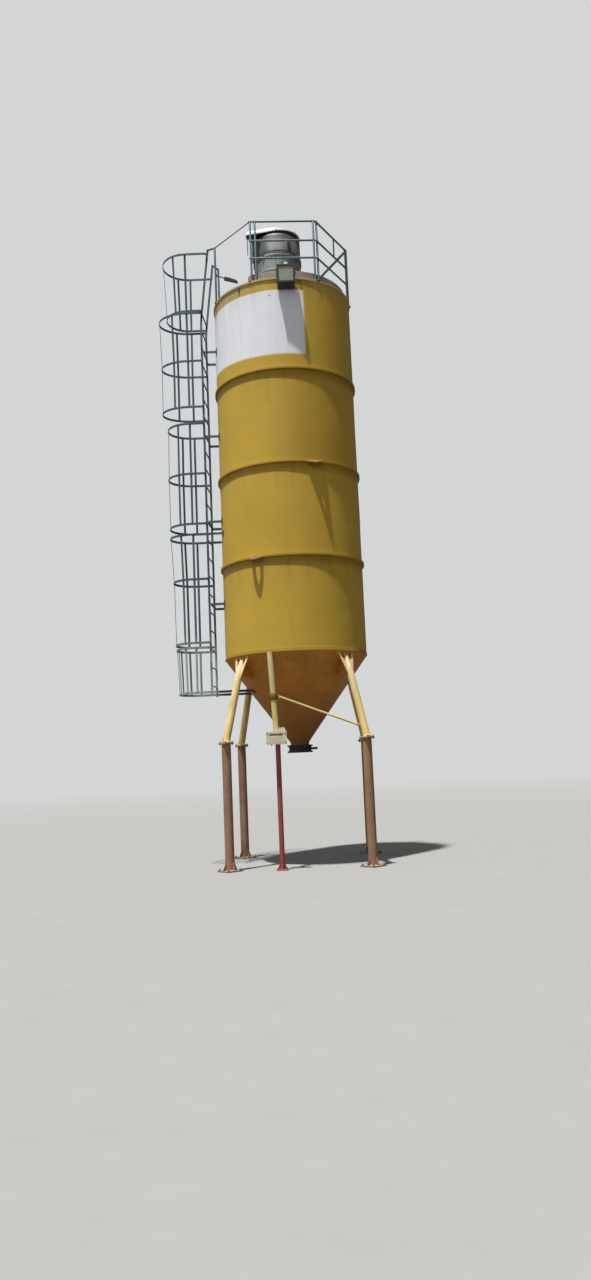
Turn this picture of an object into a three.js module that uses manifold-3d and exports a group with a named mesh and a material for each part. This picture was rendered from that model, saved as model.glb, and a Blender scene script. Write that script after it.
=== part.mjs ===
// A cement silo on four pipe legs, with a caged ladder, a guarded roof and a dust filter.
// Millimetres, +Z up. The ladder is on the -X side and the front of the silo faces -Y.
// The origin is on the ground, under the middle of the whole outline.

import * as THREE from 'three';
import { mergeVertices } from 'three/addons/utils/BufferGeometryUtils.js';
import Module from 'manifold-3d';

const wasm = await Module();
wasm.setup();

// Driving dimensions of the shell
const SHELL_RADIUS = 1150;
const SHELL_WALL = 8;
const SHELL_SIDES = 48;
const COURSE_HEIGHT = 1500;
const COURSE_COUNT = 4;
const SHELL_BASE_Z = 3250;
const SHELL_TOP_Z = SHELL_BASE_Z + COURSE_HEIGHT * COURSE_COUNT;

// Clearance between pieces that touch on the real silo
const GAP = 0.3;
// Edges shorter than this are closed up
const SLIVER = 0.02;

// Stiffening rings at the joints between courses
const RING_PROJECTION = 33;
const RING_HEIGHT = 44;
const RING_DROPS = [0, 20, 0];

// Triangular tie lugs on the rings, as angles from the front towards +X
const LUG_WIDTH = 210;
const LUG_BAR = 40;
const LOW_RING_LUGS = { angles: [-28, 152], reach: 152 };
const MIDDLE_RING_LUGS = { angles: [21, -159], reach: 128 };
const NO_LUGS = { angles: [], reach: 0 };

// Roof
const ROOF_OVERHANG = 14;
const ROOF_THICKNESS = 10;
const ROOF_SKIRT = 25;
const ROOF_TOP_Z = SHELL_TOP_Z + GAP + ROOF_THICKNESS;
const HATCH = { x: 450, y: 620, neckRadius: 215, neckHeight: 110, lidRadius: 240, lidHeight: 26 };

// Dust filter on the roof
const FILTER_X = -40;
const FILTER_Y = 0;
const FILTER_RADIUS = 400;
const FILTER_FLANGE_RADIUS = 450;
const FILTER_FLANGE_HEIGHT = 14;
const FILTER_BAND_RADIUS = 414;
const FILTER_BAND_HEIGHT = 55;
const FILTER_SPLIT_Z = SHELL_TOP_Z + 875;
const FILTER_TOP_Z = SHELL_TOP_Z + 1235;
// Rounded shoulder of the filter's head, as [radius, height above the shell's top]
const HEAD_SHOULDER = [[400, 1185], [392, 1210], [360, 1235]];

// Hood on the filter, with a nose at the front of the ladder's side. Its edges are given
// as [x, height above the shell's top]
const HOOD_X = -30;
const HOOD_RADIUS = 396;
const HOOD_SIDES = 36;
const HOOD_NOSE_X = -559;
const HOOD_NOSE_Y = [-280, -230];
const HOOD_LOWER_EDGE = [[HOOD_NOSE_X, 1257], [-100, 1257], [HOOD_X + HOOD_RADIUS, 1285]];
const HOOD_UPPER_EDGE = [[HOOD_NOSE_X, 1345], [-375, 1364], [170, 1305], [HOOD_X + HOOD_RADIUS, 1292]];
const HOOD_RIDGE = [[-400, 1378], [50, 1338]];
const HOOD_NECK_RADIUS = 330;
const HOOD_NECK_TOP = 1290;
const HOOD_FLAP = { x: -536, y: -240, depth: 6, width: 60, foot: 930, top: 1290 };
const HOOD_BAR = { x: -436, y: -255, depth: 42, width: 50, foot: 767, top: 1280 };

// Guard rail: panels between corners on a circle, from the front left round to the back
const RAIL_CORNER_RADIUS = 1150;
const RAIL_CORNERS = [-25.4, 31.6, 89, 143, 197];
const RAIL_PANELS = ['rail_front', 'rail_front_right', 'rail_back_right', 'rail_back'];
const RAIL_TUBE_RADIUS = 17;
const RAIL_TUBE_SIDES = 8;
const RAIL_POST_INSET = 36;
// The back right panel starts at its corner and has one thick top rail
const LONE_RAIL_PANEL = 2;
const LONE_RAIL_RADIUS = 22;
const LONE_RAIL_INSET = 4;
const RAIL_TWIN_SPACING = 66;
const RAIL_STRUT_SHARE = 0.58;
const RAIL_HEIGHTS = [1062, 730, 430];

// Toe board round the guarded part of the rim
const TOE_RADIUS = 1083;
const TOE_THICKNESS = 5;
const TOE_HEIGHT = 148;
const TOE_FROM = -29;
const TOE_TO = 200;
const TOE_STEPS = 30;

// Ladder
const LADDER_X = -1350;
const LADDER_HALF_WIDTH = 250;
// The ladder is turned a little: its near stile stands further out than its far one
const STILE_SKEW = 18;
const STILE_DEPTH = 36;
const STILE_THICKNESS = 10;
const LADDER_BOTTOM_Z = SHELL_BASE_Z - 550;
const LADDER_TOP_Z = SHELL_TOP_Z + 30;
const HAND_TOP_Z = SHELL_BASE_Z + 7045;
// Line midway between the stiles, as [x, z] points from the foot to the top. The stretch
// of each stile above the ladder's top belongs to the gate post beside it
const STILE_LINE = [
  [LADDER_X, LADDER_BOTTOM_Z],
  [LADDER_X, SHELL_BASE_Z + 5750],
  [-1271, SHELL_BASE_Z + 6440],
  [-1198, HAND_TOP_Z],
];
const RUNG_RADIUS = 11;
const RUNG_SIDES = 6;
const RUNG_SPACING = 300;
const BRACKET_RISES = [920, 2290, 3740, 5210];
const BRACKET_HEIGHT = 40;
const BRACKET_THICKNESS = 10;

// Gate posts on the roof's edge, beside the ladder's top
const GATE_POST_X = -1089;
const GATE_POST_Y = 354;
const GATE_POST_RISE = 1022;
const GATE_LINK_RADIUS = 14;
const GUARD_BAR_RADIUS = 9;

// Ladder cage: each section has hoops, given by height above the shell's foot,
// half width and reach from the silo's axis
const HOOP_THICKNESS = 7;
const HOOP_HEIGHT = 38;
const HOOP_ARC_STEPS = 12;
const HOOP_CENTRE_X = -1595;
const STRAP_WIDTH = 36;
const STRAP_THICKNESS = 5;
const STRAP_SETBACK = 9;

// Steps of the hoop's arc at which the straps stand
const FIVE_STRAPS = [0, 2, 6, 10, 12];
const SEVEN_STRAPS = [0, 2, 4, 6, 8, 10, 12];
const CAGE_SECTIONS = [
  {
    name: 'cage_section_5',
    straps: FIVE_STRAPS,
    hoops: [
      { rise: 6875, half: 430, reach: 2018 },
      { rise: 5892, half: 375, reach: 1969 },
    ],
  },
  {
    name: 'cage_section_4',
    straps: FIVE_STRAPS,
    hoops: [
      { rise: 5848, half: 388, reach: 2105 },
      { rise: 5030, half: 340, reach: 2079 },
      { rise: 4233, half: 340, reach: 2082 },
    ],
  },
  {
    name: 'cage_section_3',
    straps: FIVE_STRAPS,
    hoops: [
      { rise: 3935, half: 365, reach: 1998 },
      { rise: 3085, half: 355, reach: 2009 },
      { rise: 2240, half: 365, reach: 2002 },
    ],
  },
  {
    name: 'cage_section_2',
    straps: FIVE_STRAPS,
    hoops: [
      { rise: 2075, half: 315, reach: 2004, toShell: true },
      { rise: 1330, half: 325, reach: 1966 },
      { rise: 290, half: 325, reach: 1955 },
    ],
  },
  {
    name: 'cage_section_1',
    straps: SEVEN_STRAPS,
    hoops: [
      { rise: 210, half: 325, reach: 1945 },
      { rise: -510, half: 325, reach: 1920, toCone: true },
    ],
  },
];

// Cone and outlet
const CONE_HEIGHT = 1350;
const CONE_WALL = 10;
const CONE_CLEARANCE = 0.5;
const OUTLET_RADIUS = 150;
const OUTLET_STUB = 50;
const CONE_TOP_Z = SHELL_BASE_Z - GAP;
const CONE_FOOT_Z = SHELL_BASE_Z - CONE_HEIGHT;
const VALVE_TOP_Z = CONE_FOOT_Z - OUTLET_STUB - GAP;
const VALVE_HEIGHT = 120;
const VALVE_FLANGE_RADIUS = 205;
const VALVE_FLANGE_HEIGHT = 20;
const VALVE_BODY_RADIUS = 176;

// Legs and posts
const LEG_TURN = -3;
const LEG_NAMES = ['front_left', 'front_right', 'back_right', 'back_left'];
const LEG_ANGLES = [-46, 46, 134, 226];
const LEG_TOP_REACH = 1128;
const LEG_FOOT_REACH = 1480;
const LEG_RADIUS = 57;
const LEG_SIDES = 16;
const LEG_TOP_Z = SHELL_BASE_Z - 60;
const CROWN_HALF_WIDTH = 170;
const CROWN_HEIGHT = 300;
const CROWN_THICKNESS = 14;
const JOINT_Z = SHELL_BASE_Z - 1345;
const FLANGE_SIZE = 165;
const FLANGE_THICKNESS = 16;
const POST_RADIUS = 70;
const BASE_PLATE_SIZE = 280;
const BASE_PLATE_THICKNESS = 20;

// Slim pole under the front rim, its red stand, its box and its brace
const POLE_Y = -1062;
const POLE_TOP_X = -402;
const POLE_LEAN = 0.045;
const POLE_RADIUS = 44;
const POLE_SIDES = 12;
const STAND_X = -332;
const STAND_RADIUS = 38;
const STAND_TOP_Z = SHELL_BASE_Z - 1330;
const STAND_PLATE_SIZE = 180;
const STAND_PLATE_THICKNESS = 12;
const CLAMP_RADIUS = 53;
const CLAMP_HEIGHT = 105;
const CLAMP_Z = SHELL_BASE_Z - 675;
const BOX_WIDTH = 305;
const BOX_DEPTH = 115;
const BOX_HEIGHT = 195;
const BOX_Z = SHELL_BASE_Z - 1305;
const BOX_LID = 14;
const BRACE_RADIUS = 16;
const BRACE_RISE = 30;
const BRACE_FOOT_Z = SHELL_BASE_Z - 1190;

// Lamps
const LAMP_X = 88;
const LAMP_WIDTH = 290;
// Side outline of the lamp's housing, as [y, height above the shell's top]
const LAMP_OUTLINE = [[-1335, -170], [-1168, -225], [-1168, 100], [-1290, 130], [-1335, 130]];
const LAMP_ARM_Y = -1261;
const LAMP_ARM_RISE = 105;
const LAMP_HOOK = 12;
const LAMP_ARM_WIDTH = 70;
const LAMP_ARM_THICKNESS = 12;
const SIDE_LAMP_X = -941;
const SIDE_LAMP_Z = SHELL_TOP_Z + 455;
const SIDE_LAMP_LENGTH = 235;
const SIDE_LAMP_WIDTH = 60;
const SIDE_LAMP_HEIGHT = 42;
const SIDE_LAMP_TILT = 16;
const SIDE_LAMP_ARM_RADIUS = 10;
const SIDE_LAMP_ARM_RISE = 60;

// The silo's axis, as seen from the middle of the whole outline
const AXIS_X = 398;
const AXIS_Y = 37;

// Finishes
const finish = (color, roughness, metalness) =>
  new THREE.MeshStandardMaterial({ color, roughness, metalness });
const YELLOW = finish(0xc9982c, 0.55, 0.1);
const SHADED_YELLOW = finish(0xa87a22, 0.6, 0.1);
const STEEL = finish(0x6f8286, 0.5, 0.6);
const FILTER_GREY = finish(0xa3a8a6, 0.6, 0.3);
const WHITE = finish(0xe6e8ea, 0.5, 0.0);
const DUSTY_GREY = finish(0x8d8880, 0.85, 0.2);
const PRIMER_BROWN = finish(0x8f6547, 0.7, 0.1);
const RED = finish(0x9a3a35, 0.6, 0.1);
const CREAM = finish(0xded6bd, 0.6, 0.0);
const DARK = finish(0x2f3236, 0.5, 0.4);

const radians = THREE.MathUtils.degToRad;

// A point on a circle round the silo's axis, at an angle from the front towards +X
function around(angle, radius, z) {
  const a = radians(angle);
  return new THREE.Vector3(radius * Math.sin(a), -radius * Math.cos(a), z);
}

// Turns a closed geometry into a solid
function solid(geometry) {
  const bare = geometry.index ? geometry.toNonIndexed() : geometry.clone();
  for (const name of Object.keys(bare.attributes)) {
    if (name !== 'position') bare.deleteAttribute(name);
  }
  const merged = mergeVertices(bare, 1e-3);
  const triVerts = new Uint32Array(merged.index.array);
  const vertProperties = new Float32Array(merged.attributes.position.array);
  return new wasm.Manifold(new wasm.Mesh({ numProp: 3, vertProperties, triVerts }));
}

// Mesh of a solid, without the slivers that joining leaves
function geometryOf(body) {
  const mesh = body.simplify(SLIVER).getMesh();
  const geometry = new THREE.BufferGeometry();
  geometry.setAttribute('position', new THREE.BufferAttribute(new Float32Array(mesh.vertProperties), 3));
  geometry.setIndex(new THREE.BufferAttribute(new Uint32Array(mesh.triVerts), 1));
  return geometry;
}

function join(bodies) {
  return bodies.reduce((whole, body) => whole.add(body));
}

// Solid of revolution about a vertical line from [radius, z] points listed
// upwards on the outside and back down on the inside or the axis
function turned(outline, sides = SHELL_SIDES) {
  const points = [...outline, outline[0]].map(([r, z]) => new THREE.Vector2(r, z));
  const geometry = new THREE.LatheGeometry(points, sides);
  geometry.rotateX(Math.PI / 2);
  return solid(geometry);
}

function ringBody(innerRadius, outerRadius, lowZ, highZ, sides = SHELL_SIDES) {
  return turned([
    [outerRadius, lowZ],
    [outerRadius, highZ],
    [innerRadius, highZ],
    [innerRadius, lowZ],
  ], sides);
}

function discBody(radius, lowZ, highZ, sides = SHELL_SIDES) {
  return turned([
    [0, lowZ],
    [radius, lowZ],
    [radius, highZ],
    [0, highZ],
  ], sides);
}

function boxBody(width, depth, height, x, y, z) {
  const geometry = new THREE.BoxGeometry(width, depth, height);
  geometry.translate(x, y, z);
  return solid(geometry);
}

// Round bar between two points
function rod(from, to, radius, sides) {
  const axis = to.clone().sub(from);
  const geometry = new THREE.CylinderGeometry(radius, radius, axis.length(), sides);
  const turn = new THREE.Quaternion().setFromUnitVectors(new THREE.Vector3(0, 1, 0), axis.normalize());
  geometry.applyQuaternion(turn);
  const middle = from.clone().add(to).multiplyScalar(0.5);
  geometry.translate(middle.x, middle.y, middle.z);
  return solid(geometry);
}

// Flat bar between two points, with its width along a given direction
function flatBar(from, to, width, thickness, widthDirection) {
  const along = to.clone().sub(from);
  const length = along.length();
  along.normalize();
  const across = widthDirection.clone().addScaledVector(along, -widthDirection.dot(along)).normalize();
  const normal = new THREE.Vector3().crossVectors(across, along);
  const middle = from.clone().add(to).multiplyScalar(0.5);
  const geometry = new THREE.BoxGeometry(width, length, thickness);
  geometry.applyMatrix4(new THREE.Matrix4().makeBasis(across, along, normal));
  geometry.translate(middle.x, middle.y, middle.z);
  return solid(geometry);
}

// Upright strip that follows a line of [x, y] points
function strip(points, thickness, lowZ, height) {
  const left = [];
  const right = [];
  points.forEach(([x, y], i) => {
    const before = points[Math.max(i - 1, 0)];
    const after = points[Math.min(i + 1, points.length - 1)];
    const inward = new THREE.Vector2(x - before[0], y - before[1]).normalize();
    const outward = new THREE.Vector2(after[0] - x, after[1] - y).normalize();
    const straight = i === 0 ? outward : inward;
    const atEnd = i === 0 || i === points.length - 1;
    const along = atEnd ? straight : inward.clone().add(outward).normalize();
    const offset = thickness / 2 / Math.max(along.dot(straight), 0.3);
    left.push(new THREE.Vector2(x - along.y * offset, y + along.x * offset));
    right.unshift(new THREE.Vector2(x + along.y * offset, y - along.x * offset));
  });
  const geometry = new THREE.ExtrudeGeometry(new THREE.Shape([...left, ...right]), {
    depth: height,
    bevelEnabled: false,
  });
  geometry.translate(0, 0, lowZ);
  return solid(geometry);
}

const silo = new THREE.Group();
silo.position.set(AXIS_X, AXIS_Y, 0);

function addPiece(name, body, material) {
  const mesh = new THREE.Mesh(geometryOf(body), material);
  mesh.name = name;
  silo.add(mesh);
}

// Everything inside the shell's outer surface, with the clearance
const shellSpace = discBody(SHELL_RADIUS + GAP, SHELL_BASE_Z - 5, SHELL_TOP_Z + 5);

function coneRadiusAt(z) {
  const down = (SHELL_BASE_Z - z) / CONE_HEIGHT;
  return SHELL_RADIUS - (SHELL_RADIUS - OUTLET_RADIUS) * down;
}

const coneSpace = turned([
  [0, CONE_FOOT_Z],
  [OUTLET_RADIUS + CONE_CLEARANCE, CONE_FOOT_Z],
  [SHELL_RADIUS + CONE_CLEARANCE, SHELL_BASE_Z],
  [0, SHELL_BASE_Z],
]);

// Shell courses
function addShell() {
  for (let i = 0; i < COURSE_COUNT; i += 1) {
    const lowZ = SHELL_BASE_Z + COURSE_HEIGHT * i;
    const course = ringBody(SHELL_RADIUS - SHELL_WALL, SHELL_RADIUS, lowZ, lowZ + COURSE_HEIGHT - GAP);
    addPiece(`shell_course_${i + 1}`, course, YELLOW);
  }
}

// A triangular loop of bar that stands out level from a ring
function tieLug(angle, reach, z) {
  const apex = around(angle, SHELL_RADIUS + reach, z);
  const spread = THREE.MathUtils.radToDeg(LUG_WIDTH / 2 / SHELL_RADIUS);
  const rootRadius = SHELL_RADIUS + RING_PROJECTION - 6;
  const bars = [-spread, spread].map((side) =>
    rod(around(angle + side, rootRadius, z), apex, LUG_BAR / 2, RAIL_TUBE_SIDES));
  const tip = new THREE.SphereGeometry(LUG_BAR / 2, 8, 6);
  tip.translate(apex.x, apex.y, apex.z);
  return join([...bars, solid(tip)]);
}

function addRings() {
  const lugs = [LOW_RING_LUGS, MIDDLE_RING_LUGS, NO_LUGS];
  lugs.forEach(({ angles, reach }, i) => {
    const z = SHELL_BASE_Z + COURSE_HEIGHT * (i + 1) - RING_DROPS[i];
    const inner = SHELL_RADIUS + GAP;
    let ring = ringBody(inner, SHELL_RADIUS + RING_PROJECTION, z - RING_HEIGHT / 2, z + RING_HEIGHT / 2);
    for (const angle of angles) ring = ring.add(tieLug(angle, reach, z - 6));
    addPiece(`stiffener_ring_${i + 1}`, ring, YELLOW);
  });
}

function addRoof() {
  const lowZ = SHELL_TOP_Z + GAP;
  const rim = SHELL_RADIUS + ROOF_OVERHANG;
  const skirt = ringBody(SHELL_RADIUS + GAP, rim, SHELL_TOP_Z - ROOF_SKIRT, ROOF_TOP_Z);
  addPiece('roof_plate', discBody(rim, lowZ, ROOF_TOP_Z).add(skirt), YELLOW);
  const neckFoot = ROOF_TOP_Z + GAP;
  const neck = discBody(HATCH.neckRadius, neckFoot, neckFoot + HATCH.neckHeight, 24);
  const lidFoot = neckFoot + HATCH.neckHeight - 1;
  const lid = discBody(HATCH.lidRadius, lidFoot, lidFoot + HATCH.lidHeight, 24);
  const hatch = neck.add(lid).translate([HATCH.x, HATCH.y, 0]);
  addPiece('roof_hatch', hatch, DUSTY_GREY);
}

function addFilter() {
  const place = [FILTER_X, FILTER_Y, 0];
  const foot = ROOF_TOP_Z + GAP;
  const bandFoot = FILTER_SPLIT_Z - FILTER_BAND_HEIGHT;
  const drum = turned([
    [0, foot],
    [FILTER_FLANGE_RADIUS, foot],
    [FILTER_FLANGE_RADIUS, foot + FILTER_FLANGE_HEIGHT],
    [FILTER_RADIUS, foot + FILTER_FLANGE_HEIGHT],
    [FILTER_RADIUS, bandFoot],
    [FILTER_BAND_RADIUS, bandFoot],
    [FILTER_BAND_RADIUS, FILTER_SPLIT_Z],
    [0, FILTER_SPLIT_Z],
  ], 36);
  addPiece('filter_drum', drum.translate(place), FILTER_GREY);

  const headFoot = FILTER_SPLIT_Z + GAP;
  const head = turned([
    [0, headFoot],
    [FILTER_RADIUS, headFoot],
    ...HEAD_SHOULDER.map(([radius, height]) => [radius, SHELL_TOP_Z + height]),
    [0, FILTER_TOP_Z],
  ], 36);
  addPiece('filter_head', head.translate(place), FILTER_GREY);
  addPiece('filter_cap', hoodBody(), WHITE);
}

// Height above the shell's top of one of the hood's edges at an x
function edgeHeight(edge, x) {
  const i = Math.max(edge.findIndex(([edgeX]) => edgeX >= x), 1);
  const [fromX, fromZ] = edge[i - 1];
  const [toX, toZ] = edge[i];
  return fromZ + ((toZ - fromZ) * (x - fromX)) / (toX - fromX);
}

// Hood: rounded, with a nose, on a short neck above the head. A flap and a bar hang from it
function hoodBody() {
  const plan = HOOD_NOSE_Y.map((y) => [HOOD_NOSE_X, y]);
  for (let i = 0; i < HOOD_SIDES; i += 1) {
    const a = (Math.PI * 2 * i) / HOOD_SIDES;
    plan.push([HOOD_X + HOOD_RADIUS * Math.cos(a), HOOD_RADIUS * Math.sin(a)]);
  }
  const points = HOOD_RIDGE.map(([x, height]) => [x, FILTER_Y, SHELL_TOP_Z + height]);
  for (const [x, y] of plan) {
    points.push([x, FILTER_Y + y, SHELL_TOP_Z + edgeHeight(HOOD_LOWER_EDGE, x)]);
    points.push([x, FILTER_Y + y, SHELL_TOP_Z + edgeHeight(HOOD_UPPER_EDGE, x)]);
  }
  const neck = discBody(HOOD_NECK_RADIUS, FILTER_TOP_Z + GAP, SHELL_TOP_Z + HOOD_NECK_TOP, HOOD_SIDES)
    .translate([FILTER_X, FILTER_Y, 0]);
  const hangers = [HOOD_FLAP, HOOD_BAR].map(({ x, y, depth, width, foot, top }) =>
    boxBody(depth, width, top - foot, x, FILTER_Y + y, SHELL_TOP_Z + (foot + top) / 2));
  return join([wasm.Manifold.hull(points), neck, ...hangers]);
}

// Places of a panel's two end posts, and the way from one to the other
function railPanel(i) {
  const from = around(RAIL_CORNERS[i], RAIL_CORNER_RADIUS, 0);
  const to = around(RAIL_CORNERS[i + 1], RAIL_CORNER_RADIUS, 0);
  const along = to.clone().sub(from).normalize();
  return {
    start: from.addScaledVector(along, i === LONE_RAIL_PANEL ? LONE_RAIL_INSET : RAIL_POST_INSET),
    end: to.addScaledVector(along, -RAIL_POST_INSET),
    along,
  };
}

// One guard-rail panel between two corners: a post at each end and its rails
function addRails() {
  RAIL_PANELS.forEach((name, i) => {
    const { start, end, along } = railPanel(i);
    const foot = ROOF_TOP_Z + GAP;
    const bars = [];
    const posts = [start, end];
    if (i === 0) posts.push(start.clone().addScaledVector(along, RAIL_TWIN_SPACING));
    if (i === 1) {
      const strut = start.clone().lerp(end, RAIL_STRUT_SHARE);
      const low = strut.clone().setZ(SHELL_TOP_Z + RAIL_HEIGHTS[1] - RAIL_TUBE_RADIUS);
      const high = strut.clone().setZ(SHELL_TOP_Z + RAIL_HEIGHTS[0] - RAIL_TUBE_RADIUS);
      bars.push(rod(low, high, RAIL_TUBE_RADIUS * 0.7, RAIL_TUBE_SIDES));
    }
    for (const post of posts) {
      const low = post.clone().setZ(foot);
      const high = post.clone().setZ(SHELL_TOP_Z + RAIL_HEIGHTS[0]);
      bars.push(rod(low, high, RAIL_TUBE_RADIUS, RAIL_TUBE_SIDES));
    }
    const alone = i === LONE_RAIL_PANEL;
    const radius = alone ? LONE_RAIL_RADIUS : RAIL_TUBE_RADIUS * 0.95;
    for (const height of alone ? RAIL_HEIGHTS.slice(0, 1) : RAIL_HEIGHTS) {
      const z = SHELL_TOP_Z + height - RAIL_TUBE_RADIUS;
      bars.push(rod(start.clone().setZ(z), end.clone().setZ(z), radius, RAIL_TUBE_SIDES));
    }
    addPiece(name, join(bars), STEEL);
  });
}

function addToeBoard() {
  const points = [];
  for (let i = 0; i <= TOE_STEPS; i += 1) {
    const p = around(TOE_FROM + ((TOE_TO - TOE_FROM) * i) / TOE_STEPS, TOE_RADIUS, 0);
    points.push([p.x, p.y]);
  }
  const board = strip(points, TOE_THICKNESS, ROOF_TOP_Z + GAP, TOE_HEIGHT);
  addPiece('toe_board', board, DUSTY_GREY);
}

// X of the near (side -1) or the far (side 1) stile's middle at a height
function stileX(side, z) {
  const i = Math.max(STILE_LINE.findIndex(([, lineZ]) => lineZ >= z), 1);
  const [lowX, lowZ] = STILE_LINE[i - 1];
  const [highX, highZ] = STILE_LINE[i];
  return side * STILE_SKEW + lowX + ((highX - lowX) * (z - lowZ)) / (highZ - lowZ);
}

// The stretch of one stile between two heights
function stileBody(side, lowZ, highZ) {
  const bends = STILE_LINE.map(([, z]) => z).filter((z) => z > lowZ && z < highZ);
  const line = [lowZ, ...bends, highZ].map((z) => [stileX(side, z), z]);
  const left = line.map(([x, z]) => new THREE.Vector2(x - STILE_DEPTH / 2, z));
  const right = line.map(([x, z]) => new THREE.Vector2(x + STILE_DEPTH / 2, z));
  const shape = new THREE.Shape([...left, ...right.reverse()]);
  const geometry = new THREE.ExtrudeGeometry(shape, { depth: STILE_THICKNESS, bevelEnabled: false });
  geometry.rotateX(Math.PI / 2);
  geometry.translate(0, side * LADDER_HALF_WIDTH + STILE_THICKNESS / 2, 0);
  return solid(geometry);
}

function addLadder() {
  const bars = [-1, 1].map((side) => stileBody(side, LADDER_BOTTOM_Z, LADDER_TOP_Z));
  for (let z = LADDER_BOTTOM_Z + RUNG_SPACING / 2; z < SHELL_TOP_Z; z += RUNG_SPACING) {
    bars.push(rod(
      new THREE.Vector3(stileX(-1, z), -LADDER_HALF_WIDTH, z),
      new THREE.Vector3(stileX(1, z), LADDER_HALF_WIDTH, z),
      RUNG_RADIUS,
      RUNG_SIDES,
    ));
  }
  addPiece('ladder', join(bars), STEEL);
}

// A bracket reaches from the shell to the back of both stiles
function addBrackets() {
  const behind = STILE_DEPTH / 2 + 3 * GAP + BRACKET_THICKNESS / 2;
  BRACKET_RISES.forEach((rise, i) => {
    const points = [
      [-SHELL_RADIUS + 60, -LADDER_HALF_WIDTH],
      [stileX(-1, SHELL_BASE_Z + rise) + behind, -LADDER_HALF_WIDTH],
      [stileX(1, SHELL_BASE_Z + rise) + behind, LADDER_HALF_WIDTH],
      [-SHELL_RADIUS + 60, LADDER_HALF_WIDTH],
    ];
    const lowZ = SHELL_BASE_Z + rise - BRACKET_HEIGHT / 2;
    const bracket = strip(points, BRACKET_THICKNESS, lowZ, BRACKET_HEIGHT).subtract(shellSpace);
    addPiece(`ladder_bracket_${i + 1}`, bracket, STEEL);
  });
}

// Plan of a hoop, from the near stile round the climber and back to the far stile
function hoopPlan(hoop) {
  const arc = [];
  for (let i = 0; i <= HOOP_ARC_STEPS; i += 1) {
    const a = Math.PI * (i / HOOP_ARC_STEPS);
    arc.push([HOOP_CENTRE_X - (hoop.reach + HOOP_CENTRE_X) * Math.sin(a), -hoop.half * Math.cos(a)]);
  }
  if (hoop.toShell || hoop.toCone) {
    const endX = -coneRadiusAt(SHELL_BASE_Z + Math.min(hoop.rise, 0)) + 160;
    return { arc, plan: [[endX, -hoop.half], ...arc, [endX, hoop.half]] };
  }
  const armEnd = LADDER_HALF_WIDTH + STILE_THICKNESS / 2 + GAP;
  const [nearX, farX] = [-1, 1].map((side) => stileX(side, SHELL_BASE_Z + hoop.rise));
  return {
    arc,
    plan: [[nearX, -armEnd], [nearX, -hoop.half], ...arc, [farX, hoop.half], [farX, armEnd]],
  };
}

function addCage() {
  for (const section of CAGE_SECTIONS) {
    const plans = section.hoops.map(hoopPlan);
    let body = join(section.hoops.map((hoop, i) =>
      strip(plans[i].plan, HOOP_THICKNESS, SHELL_BASE_Z + hoop.rise - HOOP_HEIGHT / 2, HOOP_HEIGHT)));
    for (const index of section.straps) {
      for (let i = 0; i + 1 < section.hoops.length; i += 1) {
        const [ax, ay] = plans[i].arc[index];
        const [bx, by] = plans[i + 1].arc[index];
        const upper = new THREE.Vector3(ax, ay, SHELL_BASE_Z + section.hoops[i].rise - STRAP_SETBACK);
        const lower = new THREE.Vector3(bx, by, SHELL_BASE_Z + section.hoops[i + 1].rise + STRAP_SETBACK);
        const next = plans[i].arc[Math.min(index + 1, HOOP_ARC_STEPS)];
        const last = plans[i].arc[Math.max(index - 1, 0)];
        const tangent = new THREE.Vector3(next[0] - last[0], next[1] - last[1], 0);
        body = body.add(flatBar(lower, upper, STRAP_WIDTH, STRAP_THICKNESS, tangent));
      }
    }
    if (section.hoops.some((hoop) => hoop.toShell)) body = body.subtract(shellSpace);
    if (section.hoops.some((hoop) => hoop.toCone)) body = body.subtract(coneSpace);
    addPiece(section.name, body, STEEL);
  }
}

function addCone() {
  const cone = turned([
    [OUTLET_RADIUS, CONE_FOOT_Z - OUTLET_STUB],
    [OUTLET_RADIUS, CONE_FOOT_Z],
    [SHELL_RADIUS, CONE_TOP_Z],
    [SHELL_RADIUS - CONE_WALL, CONE_TOP_Z],
    [OUTLET_RADIUS - CONE_WALL, CONE_FOOT_Z],
    [OUTLET_RADIUS - CONE_WALL, CONE_FOOT_Z - OUTLET_STUB],
  ]);
  addPiece('cone', cone, SHADED_YELLOW);
}

// Closed butterfly valve under the outlet, with its lever
function addValve() {
  const foot = VALVE_TOP_Z - VALVE_HEIGHT;
  const middle = VALVE_TOP_Z - VALVE_HEIGHT / 2;
  const bore = OUTLET_RADIUS - CONE_WALL;
  const body = turned([
    [0, middle - 6],
    [bore, middle - 6],
    [bore, foot],
    [VALVE_FLANGE_RADIUS, foot],
    [VALVE_FLANGE_RADIUS, foot + VALVE_FLANGE_HEIGHT],
    [VALVE_BODY_RADIUS, foot + VALVE_FLANGE_HEIGHT],
    [VALVE_BODY_RADIUS, VALVE_TOP_Z - VALVE_FLANGE_HEIGHT],
    [VALVE_FLANGE_RADIUS, VALVE_TOP_Z - VALVE_FLANGE_HEIGHT],
    [VALVE_FLANGE_RADIUS, VALVE_TOP_Z],
    [bore, VALVE_TOP_Z],
    [bore, middle + 6],
    [0, middle + 6],
  ], 32);
  const spindle = rod(
    new THREE.Vector3(bore + 10, 0, middle),
    new THREE.Vector3(VALVE_FLANGE_RADIUS + 60, 0, middle),
    18,
    RAIL_TUBE_SIDES,
  );
  const lever = boxBody(14, 260, 34, VALVE_FLANGE_RADIUS + 50, -90, middle);
  addPiece('outlet_valve', join([body, spindle, lever]), DARK);
}

// Axis of a leg: its upper and lower ends for an angle round the silo
function legAxis(angle) {
  return {
    top: around(angle, LEG_TOP_REACH, LEG_TOP_Z),
    foot: around(angle, LEG_FOOT_REACH, JOINT_Z + FLANGE_THICKNESS / 2),
  };
}

function legAngle(i) {
  return LEG_ANGLES[i] + LEG_TURN;
}

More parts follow.
